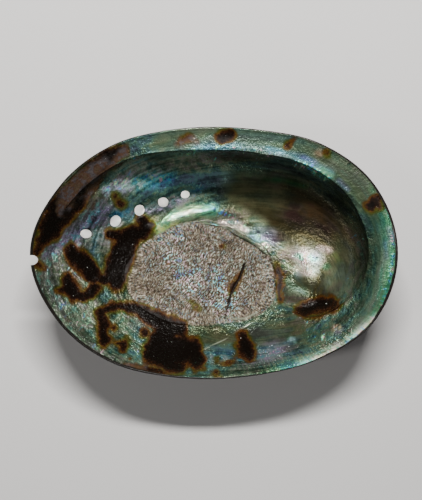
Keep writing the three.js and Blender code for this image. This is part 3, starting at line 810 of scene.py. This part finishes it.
class ShellColours(bpy.types.PropertyGroup):
    """Colours of the pearl's zones, of the scar, the stains and the crust."""

    sage: shade("Sage", "62766a", "Plain grey-green pearl")
    teal: shade("Teal", "5c8682", "Blue-green pearl of the floor by the rim")
    # Blue of the pearl, with painted reflections and glints
    cyan_and_painted_glints: shade("Cyan", "58b8f0", "Pale blue patches of the upper wall and the ledge")
    blue: shade("Blue", "34548c", "Deep blue round the holes")
    violet: shade("Violet", "64609c", "Violet patches")
    rose: shade("Rose", "b898a4", "Pinkish patches of the upper wall")
    # Painted highlight and glints, green
    painted_highlight_mint: shade("Mint", "7cf0b4", "Light green of the fold")
    # Painted highlight, greenish white
    pale: shade("Pale", "f0f8ea", "Greenish white at the foot of the highlight")
    bronze: shade("Bronze", "463a20", "Brown-green floor of the deep end")
    # Painted green glints
    forest: shade("Forest", "28663a", "Green streaks under the ledge")
    olive: shade("Olive", "484a34", "Dull floor below the scar")
    deep: shade("Deep green", "1e3a2e", "Inner half of the right ledge")
    night: shade("Night", "423b2a", "Shaded wall under the ledge")
    rust: shade("Rust", "5c3e2a", "Reddish brown of the deep end")
    # Painted yellow-green glow of the light on the fold and beside the deep end's highlight
    lime: shade("Lime", "b8d444", "Yellow-green by the scar")
    # Painted pink light round the highlight
    blush: shade("Blush", "d8b0b8", "Pink round the highlight")
    grass: shade("Grass", "35805e", "Green of the right ledge")
    # Painted half-light at the rim of the deep end's dark
    sand: shade("Sand", "645438", "Warm rim of the deep end's shade")
    peach: shade("Peach", "c08a78", "Two peach spots on the ledge")
    # Painted shade, dark brown
    painted_shade_umber: shade("Umber", "2c261c", "Dark side of the coil's root")
    moss: shade("Moss", "4a5238", "Dull green")
    slate: shade("Slate", "4a5842", "Upper ledge")
    # Painted highlight: the white of the brightest places
    painted_highlight_white: shade("Gleam", "ffffff", "White of the brightest places")
    ray: shade("Ray", "38a878", "Outer rim of the right ledge")
    # Painted highlight of the lower right rim, and the white of the blister
    frost_and_painted_highlight: shade("Frost", "d4fcec", "Nearly white rim at the lower right")
    # Painted pale green sheen
    painted_sheen_celadon: shade("Celadon", "9aa688", "Pale green beside the scar's border")
    mist: shade("Mist", "90a8a4", "Grey-green upper wall")
    # Painted soft light
    painted_light_khaki: shade("Khaki", "7c7c5a", "Soft light below the ledge")
    espresso: shade("Espresso", "2e2218", "Darkest brown of the deep end")
    scar_dark: shade("Scar furrows", "221a12", "Furrows of the muscle scar")
    scar_light: shade("Scar strokes", "b8b2a4", "Lightest strokes of the muscle scar")
    stain: shade("Stain", "0b0705", "Heart of the horny stains")
    lip: shade("Lip", "1b1917", "Dark outer layer seen along the lip")
    lime_film: shade("Lime film", "a8a294", "Pale chalk on the back")


class ShellStage(bpy.types.PropertyGroup):
    """Light and camera."""

    fill: power("Fill", "Strength of the soft grey surround", 0.065)
    key: power("Key", "Power of the key light in watts", 10.4)
    softbox: power("Softbox", "Power of the left softbox in watts", 1.5)
    front: power("Front", "Power of the front softbox in watts", 0.7)
    beam: power("Low beam", "Power of the beam under the rim in watts", 0.013)
    lens: power("Lens", "Focal length in mm", 67.9)
    camera_height: bpy.props.FloatProperty(
        name="Camera height", description="Height of the camera above the floor", default=0.42, unit="LENGTH"
    )


# How metal-like the pearl of a zone shines
PLAIN_SHINE = 0.6
SHINE = {
    "painted_shade_umber": 0.12, "deep": 0.3, "grass": 0.5, "pale": 0.7, "painted_highlight_mint": 0.95, "night": 0.4, "rust": 0.45,
    "olive": 0.45, "slate": 0.35, "cyan_and_painted_glints": 0.3, "painted_highlight_white": 1.0, "violet": 0.5, "blue": 0.5,
    "ray": 0.8, "frost_and_painted_highlight": 0.15, "lime": 0.3, "rose": 0.3, "painted_sheen_celadon": 0.3, "mist": 0.2, "painted_light_khaki": 0.4,
}


def add_node(tree, kind, inputs=None, out=0, stops=(), **settings):
    """Adds a node and returns one of its outputs. The inputs map a socket's name or number to a value
    or to an output; the stops are the (place, colour) stops of a colour ramp."""
    node = tree.nodes.new(kind)
    for key, value in settings.items():
        setattr(node, key, value)
    for key, value in (inputs or {}).items():
        socket = node.inputs[key]
        if isinstance(value, bpy.types.NodeSocket):
            tree.links.new(value, socket)
        else:
            socket.default_value = value
    if stops:
        elements = node.color_ramp.elements
        elements.remove(elements[1])
        elements[0].position = stops[0][0]
        elements[0].color = solid(stops[0][1])
        for place, colour in stops[1:]:
            elements.new(place).color = solid(colour)
    return node.outputs[out]


def new_material(name):
    """A material with its node tree and the inputs of its surface shader."""
    material = bpy.data.materials.new(name)
    material.use_nodes = True
    return material, material.node_tree, material.node_tree.nodes["Principled BSDF"].inputs


# What the nodes of the pearl read from the mesh: (name, attribute, output)
PEARL_READS = [
    ("tint", "tint", "Color"), ("shine", "tint", "Alpha"), ("growth", "growth", "Vector"),
    ("even_place", "even", "Vector"), ("spread_place", "spread", "Vector"),
    ("ray_place", "ray", "Vector"), ("lines", "lines", "Vector"), ("stain_gap", "stain", "Fac"),
    ("veil_gap", "veil", "Fac"), ("scar_gap", "scar", "Fac"), ("lip_gap", "lip", "Fac"),
    ("polish", "polish", "Fac"), ("middle", "glint", "Fac"), ("rim", "rim", "Fac"), ("flash", "flash", "Fac"),
]
BAND_STRETCH = (0.2, 0.2, 1)  # draws the growth bands out round the spire
PEARL_BUMP = 1.0
PEARL_SPECULAR = 0.15  # low, so that the dark zones stay dark beside the metal-like gloss

# Tables of the pearl's nodes, in the rows that add_tables takes
PEARL_GRAIN = {
    "noises": [
        # Broad drifts and patches of the pearl
        ("drift", "growth", 8, 3, 0.55), ("band", "band_place", 1.1, 2, 0.5), ("patch", "place", 12, 2, 0.5),
        ("fringe", "place", 7, 2, 0.5), ("fray", "place", 4.5, 1, 0.5), ("glint", "place", 10, 2, 0.5),
        # Crinkles and flecks; the finest are drawn at 0.4 to 0.9 mm, coarser than real, to show at all
        ("warm", "place", 3.2, 3, 0.6), ("dapple", "place", 2.8, 4, 0.6), ("fleck", "place", 0.9, 2, 0.6),
        ("spark", "place", 0.7, 1, 0.5), ("grain", "place", 0.45, 1, 0.5),
        ("silk", "even_place", 1.3, 3, 0.6), ("even", "even_place", 0.52, 2, 0.6),
        ("spread", "spread_place", 0.52, 2, 0.6), ("streak", "spread_place", 0.4, 3, 0.6),
        ("rays", "ray_place", 0.8, 3, 0.6),
    ],
    "eases": [("border", "scar_gap", 3.0, 8.0, 1.0, 0.0)],
}
PEARL_COLOUR = {
    "mixes": [
        ("cell", "rim", "dapple", "rays"), ("soft", "polish", "cell", "patch"),
        ("flow", "rim", "silk", "rays"), ("stroke", "border", "even", "spread"),
    ],
    "sums": [
        ("hue", 0.0, {"drift": 0.6, "soft": 0.4}),
        ("patches", 0.0, {"patch": 0.3, "cell": 0.25, "streak": 0.15, "band": 0.3}),
        ("sparkle", -0.3, {"flow": 0.6, "dapple": 0.2, "patch": 0.2, "flash": 0.27}),
        ("scar_edge", -0.1, {"scar_gap": 1.0, "fleck": 1.6}),
        ("sparks", 0.0, {"even": 0.7, "spark": 0.3}),
        ("lip_edge", -0.3, {"lip_gap": 1.0, "dapple": 0.6}),
        ("crack_edge", -0.6, {"crack": 1.0, "dapple": 1.6}),
        # Specks: where small white glints are painted on the stains
        ("specks", -0.25, {"spark": 1.0, "warm": 0.5}),
        ("grit", 0.0, {"stroke": 0.6, "grain": 0.15, "warm": 0.25}),
        ("frayed", -2.35, {"stain_gap": 1.0, "fray": 3.4, "warm": 0.8}),
        ("veiled", -3.0, {"veil_gap": 1.0, "fray": 6.0}),
        ("margin", -0.9, {"frayed": 1.0, "fringe": 2.0}),
        ("mottle", -1.5, {"frayed": 1.0, "fleck": 3.0}),
        ("smooth_relief", 0.0, {"cell": 0.9, "fleck": 0.45, "even": 0.3}),
        ("rough_relief", 0.0, {"stroke": 0.5, "grain": 0.4}),
    ],
    "eases": [
        ("scar", "scar_edge", -0.5, 0.7, 0.0, 1.0), ("glint_patch", "glint", 0.42, 0.54, 0.3, 1.0),
        ("glint_middle", "middle", 0.0, 1.0, 0.25, 0.9), ("glint_spark", "sparks", 0.50, 0.60, 0.0, 1.0),
        ("lip_share", "lip_edge", 1.15, 0.85, 0.0, 1.0), ("play_share", "polish", 0.0, 1.0, 0.45, 0.2),
        ("scratch_share", "scratch", 0.4, 0.1, 0.0, 0.6), ("crack_share", "crack_edge", 1.1, 0.4, 0.0, 1.0),
        ("lobe_share", "lobe", 0.7, 0.2, 0.0, 0.5), ("painted_rainbow_share", "lightness", 0.45, 0.85, 0.0, 0.8),
        ("calm", "polish", 0.0, 1.0, 1.0, 0.55), ("painted_glint_share", "sparkle", 0.35, 0.48, 0.0, 0.85),
        ("matt", "shine", 0.6, 0.1, 0.0, 0.4), ("painted_stain_glint_share", "specks", 0.79, 0.86, 0.0, 0.8),
        ("film_share", "margin", 1.5, 0.0, 0.0, 0.9), ("core", "frayed", 0.8, -1.1, 0.0, 1.0),
        ("veil_share", "veiled", 1.4, -2.4, 0.0, 0.72), ("depth", "mottle", -2.8, 0.5, 0.0, 1.0),
        ("rough", "fleck", 0.3, 0.7, 0.16, 0.26), ("scar_rough", "scar", 0.0, 1.0, 0.0, 0.25),
    ],
    "pairs": [
        ("glints", "MULTIPLY", "glint_patch", "glint_middle"),
        ("glints", "MULTIPLY", "glints", "glint_spark"),
        ("film_glow", "MULTIPLY", "film_share", 0.1), ("painted_stain_glints", "MULTIPLY", "core", "painted_stain_glint_share"),
        ("dull", "MAXIMUM", "scar", "core"), ("dull", "MAXIMUM", "dull", "lip_share"),
    ],
    "ramps": [
        # Pearl: drifting sea hues, light and dark patches, a painted rainbow on the painted highlights, painted
        # glints
        ("play", "hue", [
            (0.36, "5454a4"), (0.42, "3c8ca4"), (0.47, "589880"), (0.51, "88a074"), (0.55, "a8a278"),
            (0.60, "ac8088"), (0.66, "549080"),
        ]),
        ("light", "patches", [(0.39, "6c746c"), (0.46, "b0b4b0"), (0.53, "ffffff")]),
        ("painted_highlight_rainbow", "hue", [
            (0.38, "84b8f0"), (0.44, "78f0cc"), (0.47, "c0ffe8"), (0.49, "ffffff"), (0.51, "ffdce4"),
            (0.53, "f4ffb8"), (0.56, "ffb4cc"), (0.61, "90f0c8"),
        ]),
        ("painted_glint_hues", "warm", [
            (0.38, "6468c8"), (0.44, "40a8dc"), (0.48, "50d8bc"), (0.51, "a8f0cc"), (0.55, "88dc8c"),
            (0.60, "e0acc8"),
        ]),
        # Scar: fine taupe strokes over dark brown furrows, with painted blue-green glints in its middle
        ("scar_tone", "grit", [
            (0.37, "scar_dark"), (0.44, "362c20"), (0.50, "574d40"), (0.56, "7a7060"), (0.63, "scar_light"),
        ]),
        ("painted_scar_glints", "dapple", [
            (0.40, "5870c0"), (0.46, "58b8d8"), (0.51, "90e0d0"), (0.55, "f0f8f4"), (0.60, "d8b8d0"),
        ]),
        # Stains: from a clear amber film at their margin to black, and the thin brown-grey veils
        ("film", "fringe", [(0.42, "8c9438"), (0.50, "a88830"), (0.58, "a06424")]),
        ("black", "depth", [(0.0, "stain"), (0.45, "1a0e08"), (0.75, "30190b"), (1.0, "50320f")]),
        ("haze", "warm", [(0.38, "504234"), (0.47, "4e382c"), (0.57, "504a4c")]),
    ],
    "layers": [
        ("pearl", "tint", [
            ("play_share", "play", "COLOR"), ("painted_rainbow_share", "painted_highlight_rainbow", "MIX"), ("calm", "light", "MULTIPLY"),
            ("painted_glint_share", "painted_glint_hues", "MIX"),
        ]),
        ("scar_colour", "scar_tone", [("glints", "painted_scar_glints", "MIX"), ("lobe_share", "8c9480", "MIX")]),
        ("whole", "pearl", [
            ("scratch_share", "a8b09c", "MIX"), ("scar", "scar_colour", "MIX"),
            ("film_share", "film", "MULTIPLY"), ("film_glow", "film", "MIX"), ("core", "black", "MIX"),
            ("veil_share", "haze", "MIX"), ("painted_stain_glints", "b8bcb8", "MIX"), ("crack_share", "120a06", "MIX"),
            ("lip_share", "lip", "MIX"),
        ]),
    ],
}
PEARL_GLOSS = {
    "mixes": [("relief", "scar", "smooth_relief", "rough_relief")],
    "sums": [
        ("bump_strength", 0.95, {"polish": -0.8, "core": -0.5, "lip_share": -0.7}),
        ("roughness", "rough", {"scar_rough": 1.0, "matt": 1.0, "core": 0.03, "polish": -0.1}),
    ],
    "eases": [("metal_share", "dull", 0.0, 1.0, 1.0, 0.1)],
    "pairs": [("metallic", "MULTIPLY", "metal_share", "shine")],
}

# Tables of the crust's nodes
CRUST_READS = [("growth", "growth", "Vector"), ("hollow", "relief", "Fac")]
CRUST_BUMP = 0.6
CRUST_BUMP_STRENGTH = 0.9
CRUST_ROUGHNESS = 0.75
CRUST_COLOUR = {
    "noises": [
        ("band", "growth", 6, 3, 0.6), ("blotch", "place", 9, 4, 0.6), ("grain", "place", 0.8, 3, 0.6),
    ],
    "eases": [
        ("chalk_share", "blotch", 0.52, 0.66, 0.0, 0.7), ("hollow_share", "hollow", -0.4, 0.3, 0.6, 0.0),
        ("grime_share", "grain", 0.35, 0.65, 0.3, 0.0),
    ],
    "ramps": [
        ("tone", "band", [
            (0.36, "2a1f1a"), (0.44, "4c3228"), (0.52, "684838"), (0.58, "4a4a3a"), (0.66, "7c7264"),
        ]),
    ],
    "layers": [
        ("whole", "tone", [
            ("chalk_share", "lime_film", "MIX"), ("hollow_share", "1e1814", "MIX"),
            ("grime_share", "2a221c", "MIX"),
        ]),
    ],
}


def add_tables(tree, n, colours, noises=(), mixes=(), sums=(), eases=(), pairs=(), ramps=(), layers=()):
    """Adds nodes to the named values n, from rows that say which values they read:
    noises (name, place, width of a lump in mm, detail, roughness), mixes (name, share, from, to),
    sums (name, start, {value: factor}), eases (name, value, low, high, result at low, result at high),
    pairs (name, operation, value, value or number), ramps (name, value, stops) and layers
    (name, colour to start from, rows of (share, colour, blend)). A colour is the name of a value or of
    one of the user's colours, or an sRGB hex."""
    for name, place, size, detail, rough in noises:
        inputs = {"Vector": n[place], "Scale": 1 / (size * MM), "Detail": detail, "Roughness": rough}
        n[name] = add_node(tree, "ShaderNodeTexNoise", inputs)
    for name, share, low, high in mixes:
        n[name] = add_node(tree, "ShaderNodeMix", {0: n[share], 2: n[low], 3: n[high]}, data_type="FLOAT")
    for name, total, terms in sums:
        n[name] = n.get(total, total)
        for value, factor in terms.items():
            inputs = {0: n[value], 1: factor, 2: n[name]}
            n[name] = add_node(tree, "ShaderNodeMath", inputs, operation="MULTIPLY_ADD")
    for name, value, low, high, at_low, at_high in eases:
        inputs = {0: n[value], 1: low, 2: high, 3: at_low, 4: at_high}
        n[name] = add_node(tree, "ShaderNodeMapRange", inputs, interpolation_type="SMOOTHSTEP")
    for name, operation, value, other in pairs:
        n[name] = add_node(tree, "ShaderNodeMath", {0: n[value], 1: n.get(other, other)}, operation=operation)
    for name, value, stops in ramps:
        stops = [(place, getattr(colours, tone, tone)) for place, tone in stops]
        n[name] = add_node(tree, "ShaderNodeValToRGB", {0: n[value]}, stops=stops)
    for name, base, rows in layers:
        n[name] = n[base]
        for share, tone, blend in rows:
            over = n[tone] if tone in n else solid(getattr(colours, tone, tone))
            inputs = {0: n[share], 6: n[name], 7: over}
            n[name] = add_node(tree, "ShaderNodeMix", inputs, 2, data_type="RGBA", blend_type=blend)


def pearl_material(colours):
    """Nacre: thin aragonite plates that give a satin metal-like gloss in sea greens, with the horny
    brown-black stains and the dull crinkled scar of the muscle worked in by attribute."""
    # Highlights, glints and some shade are painted into this colour by the zones and layers, besides the lamps'
    # own gloss
    material, tree, surface = new_material("nacre_stained")
    n = {"place": add_node(tree, "ShaderNodeTexCoord", out="Object")}
    for name, attribute, out in PEARL_READS:
        n[name] = add_node(tree, "ShaderNodeAttribute", out=out, attribute_name=attribute)
    for axis, name in zip("XYZ", ("scratch", "crack", "lobe")):
        n[name] = add_node(tree, "ShaderNodeSeparateXYZ", {0: n["lines"]}, axis)
    stretch = {0: n["growth"], 1: BAND_STRETCH}
    n["band_place"] = add_node(tree, "ShaderNodeVectorMath", stretch, operation="MULTIPLY")
    n["lightness"] = add_node(tree, "ShaderNodeRGBToBW", {0: n["tint"]})
    for tables in (PEARL_GRAIN, PEARL_COLOUR, PEARL_GLOSS):
        add_tables(tree, n, colours, **tables)
    inputs = {"Height": n["relief"], "Strength": n["bump_strength"], "Distance": PEARL_BUMP * MM}
    n["bump"] = add_node(tree, "ShaderNodeBump", inputs)
    for socket, name in (
        ("Base Color", "whole"), ("Metallic", "metallic"), ("Roughness", "roughness"), ("Normal", "bump"),
    ):
        tree.links.new(n[name], surface[socket])
    surface["Specular IOR Level"].default_value = PEARL_SPECULAR
    return material


def crust_material(colours):
    """The outer horny and chalky layer: dull brick and olive brown with pale lime films, matt."""
    material, tree, surface = new_material("outer_crust")
    n = {"place": add_node(tree, "ShaderNodeTexCoord", out="Object")}
    for name, attribute, out in CRUST_READS:
        n[name] = add_node(tree, "ShaderNodeAttribute", out=out, attribute_name=attribute)
    add_tables(tree, n, colours, **CRUST_COLOUR)
    inputs = {"Height": n["grain"], "Strength": CRUST_BUMP_STRENGTH, "Distance": CRUST_BUMP * MM}
    tree.links.new(n["whole"], surface["Base Color"])
    tree.links.new(add_node(tree, "ShaderNodeBump", inputs), surface["Normal"])
    surface["Roughness"].default_value = CRUST_ROUGHNESS
    return material


# Marks that the materials read
SHEEN_REACH = 3
SHEEN_LAP = 3.2  # mm by which the pearl's crinkled edge laps over the scar
GLINT_REACH = 7
# Share of painted bright glints on the pearl outside the glinting places
PLAIN_FLASH = 0.3  # bright glints of the pearl outside the glinting places
RAYED_WIDTH = 7  # of the part of the ledge with fine rays
RAYED_FADE = 3
RAYED_MIDDLE = -20  # degrees
RAY_RADIUS = 60
RAY_STRETCH = 5
GROWTH_RADIUS = 20
GROWTH_LENGTH = 70
GROWTH_RISE = 0.3


def paint_attributes(mesh, relief, colours):
    """Writes what the materials read: the tint, distances from the markings, shares of the special
    parts of the pearl, and the stretched places of the strokes, rays and growth bands."""
    co = coordinates(mesh)
    x, y = co[:, 0], co[:, 1]
    a = degrees_of(x, y)
    from_edge = around(RIM_REACH, a) - np.hypot(x, y)
    polish = strongest(x, y, POLISHED)
    sheen = smooth(1 - stroke_distance(x, y, SCAR_SHEEN) / SHEEN_REACH)
    rayed_side = smooth((np.cos(np.radians(a - RAYED_MIDDLE)) - 0.2) * 2)
    set_attribute(mesh, "tint", "FLOAT_COLOR", pearl_tint(x, y, colours))
    for name, values in {
        "stain": np.min([stroke_distance(x, y, p) for p in STAINS], axis=0),
        "veil": np.min([stroke_distance(x, y, p) for p in VEILS], axis=0),
        "scar": np.clip(scar_depth(x, y), -5, 20) - SHEEN_LAP * sheen,
        "lip": from_edge / around(LIP_EDGE, a),
        "polish": polish,
        "flash": np.maximum(PLAIN_FLASH * (1 - polish), strongest(x, y, GLINTING)),
        "rim": smooth((RAYED_WIDTH - from_edge) / RAYED_FADE) * rayed_side,
        "glint": smooth(1 - stroke_distance(x, y, SCAR_GLINTS) / GLINT_REACH),
        "relief": relief,
    }.items():
        set_attribute(mesh, name, "FLOAT", values)
    turn = np.radians(a)
    rays = np.stack([RAY_RADIUS * np.cos(turn), RAY_RADIUS * np.sin(turn), from_edge / RAY_STRETCH], 1)
    turn = np.arctan2(y - APEX[1], x - APEX[0])
    outward = GROWTH_LENGTH * growth_share(x, y) + GROWTH_RISE * co[:, 2]
    growth = np.stack([GROWTH_RADIUS * np.cos(turn), GROWTH_RADIUS * np.sin(turn), outward], 1)
    even, spread = stroke_places(x, y)
    for name, places in {"ray": rays, "even": even, "spread": spread, "growth": growth}.items():
        set_attribute(mesh, name, "FLOAT_VECTOR", places * MM)
    lines = np.stack([stroke_distance(x, y, p) for p in (SCRATCH, CRACK, LOBE_RIDGE)], 1)
    set_attribute(mesh, "lines", "FLOAT_VECTOR", np.minimum(lines, 10))


def vertex_sides(mesh):
    """1 for a vertex of the back, 0 inside, between them on the lip."""
    total = np.zeros(len(mesh.vertices))
    count = np.zeros(len(mesh.vertices))
    for face in mesh.polygons:
        for i in face.vertices:
            total[i] += face.material_index
            count[i] += 1
    return total / np.maximum(count, 1)


class SHELL_OT_build(bpy.types.Operator):
    """Builds the whole shell: skin, breathing holes, relief, markings and materials"""

    bl_idname = "shell.build"
    bl_label = "Shell"

    def execute(self, context):
        form = context.scene.shell_form
        colours = context.scene.shell_colours
        materials = [pearl_material(colours), crust_material(colours)]
        shell = new_mesh_object("abalone_shell", skin(form), materials)
        cutter = new_mesh_object("hole_cutters", hole_cutters(), [])
        cut(shell, cutter)
        ease_hole_edges(shell)
        mesh = shell.data
        side = vertex_sides(mesh)
        co = coordinates(mesh)
        normals = np.empty(len(mesh.vertices) * 3)
        mesh.vertices.foreach_get("normal", normals)
        normals = normals.reshape(-1, 3)
        x, y = co[:, 0], co[:, 1]
        outer = side > 0.5
        back = back_relief(co, form)
        edge = smooth((around(RIM_REACH, degrees_of(x, y)) - np.hypot(x, y)) / RIM_CALM)
        relief = np.where(outer, back, inside_relief(co, form) * edge)
        # By the holes the relief moves points straight up or down, so the holes keep their outline
        by_hole = smooth((UPRIGHT_REACH - hole_gap(x, y)) / UPRIGHT_FADE)[:, None]
        upright = np.where(outer, -1.0, 1.0)[:, None] * np.array([[0, 0, 1.0]])
        raised = co + (normals * (1 - by_hole) + upright * by_hole) * relief[:, None]
        raised[:, 2] = np.maximum(raised[:, 2], 0)
        paint_attributes(mesh, np.where(outer, back, 0), colours)
        mesh.vertices.foreach_set("co", (raised * MM).ravel())
        mesh.update()
        triangles = sum(len(p.vertices) - 2 for p in mesh.polygons)
        print("shell", len(mesh.vertices), "vertices", triangles, "triangles")
        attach(shell, "root")
        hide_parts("shell")
        return {"FINISHED"}


FLOOR_HALF = 4
PAPER = "cacacc"
SURROUND = "d8dade"
LAMP_TINT = "fffcf6"
CAMERA_SHIFT = (-1.2, 1.2)
SENSOR_WIDTH = 36
# Lamps: (name, its setting, elevation, azimuth, distance, width, height, spread, place aimed at)
LAMPS = [
    ("key", "key", 57, 88, 0.7, 0.3, 0.045, 180, (0, 0, 0)),
    ("left_softbox", "softbox", 54, 192, 0.9, 0.08, 0.34, 180, (0, 0, 0)),
    ("front_softbox", "front", 28, 300, 0.9, 0.26, 0.16, 180, (0, 0, 0)),
    ("low_beam", "beam", 34, 109, 0.12, 0.075, 0.015, 3, (-0.031, 0.0185, 0)),
]


class SHELL_OT_stage(bpy.types.Operator):
    """Sets the shell on a plain pale floor under soft studio light, with the camera above it"""

    bl_idname = "shell.stage"
    bl_label = "Stage"

    def execute(self, context):
        settings = context.scene.shell_stage
        bm = bmesh.new()
        bmesh.ops.create_grid(bm, x_segments=1, y_segments=1, size=FLOOR_HALF)
        material, _, surface = new_material("matt_paper")
        surface["Base Color"].default_value = linear(PAPER)
        surface["Roughness"].default_value = 0.9
        new_mesh_object("floor", bm, [material])
        world = bpy.data.worlds.new("soft_grey")
        world.use_nodes = True
        background = world.node_tree.nodes["Background"].inputs
        background["Color"].default_value = linear(SURROUND)
        background["Strength"].default_value = settings.fill
        context.scene.world = world
        for name, setting, elevation, azimuth, away, width, height, spread, target in LAMPS:
            light = bpy.data.lights.new(name, "AREA")
            light.shape = "RECTANGLE"
            light.size = width
            light.size_y = height
            light.spread = math.radians(spread)
            light.energy = getattr(settings, setting)
            light.color = linear(LAMP_TINT)[:3]
            lamp = bpy.data.objects.new(name, light)
            e, a = math.radians(elevation), math.radians(azimuth)
            aim = Vector((math.cos(e) * math.cos(a), math.cos(e) * math.sin(a), math.sin(e)))
            lamp.location = Vector(target) + aim * away
            lamp.rotation_euler = aim.to_track_quat("Z", "Y").to_euler()
            context.scene.collection.objects.link(lamp)
        camera = bpy.data.cameras.new("camera")
        camera.lens = settings.lens
        camera.sensor_width = SENSOR_WIDTH
        holder = bpy.data.objects.new("camera", camera)
        holder.location = (CAMERA_SHIFT[0] * MM, CAMERA_SHIFT[1] * MM, settings.camera_height)
        context.scene.collection.objects.link(holder)
        context.scene.camera = holder
        return {"FINISHED"}


class SHELL_PT_panel(bpy.types.Panel):
    """Buttons for the shell and its stage"""

    bl_label = "Abalone shell"
    bl_idname = "SHELL_PT_panel"
    bl_space_type = "VIEW_3D"
    bl_region_type = "UI"
    bl_category = "Shell"

    def draw(self, context):
        self.layout.operator(SHELL_OT_build.bl_idname)
        self.layout.operator(SHELL_OT_stage.bl_idname)


CLASSES = (ShellForm, ShellColours, ShellStage, SHELL_OT_build, SHELL_OT_stage, SHELL_PT_panel)


def register():
    for item in CLASSES:
        bpy.utils.register_class(item)
    bpy.types.Scene.shell_form = bpy.props.PointerProperty(type=ShellForm)
    bpy.types.Scene.shell_colours = bpy.props.PointerProperty(type=ShellColours)
    bpy.types.Scene.shell_stage = bpy.props.PointerProperty(type=ShellStage)


def unregister():
    del bpy.types.Scene.shell_stage
    del bpy.types.Scene.shell_colours
    del bpy.types.Scene.shell_form
    for item in reversed(CLASSES):
        bpy.utils.unregister_class(item)


def main():
    """Builds the stage and the shell."""
    register()
    bpy.ops.shell.stage()
    bpy.ops.shell.build()


if __name__ == "__main__":
    main()
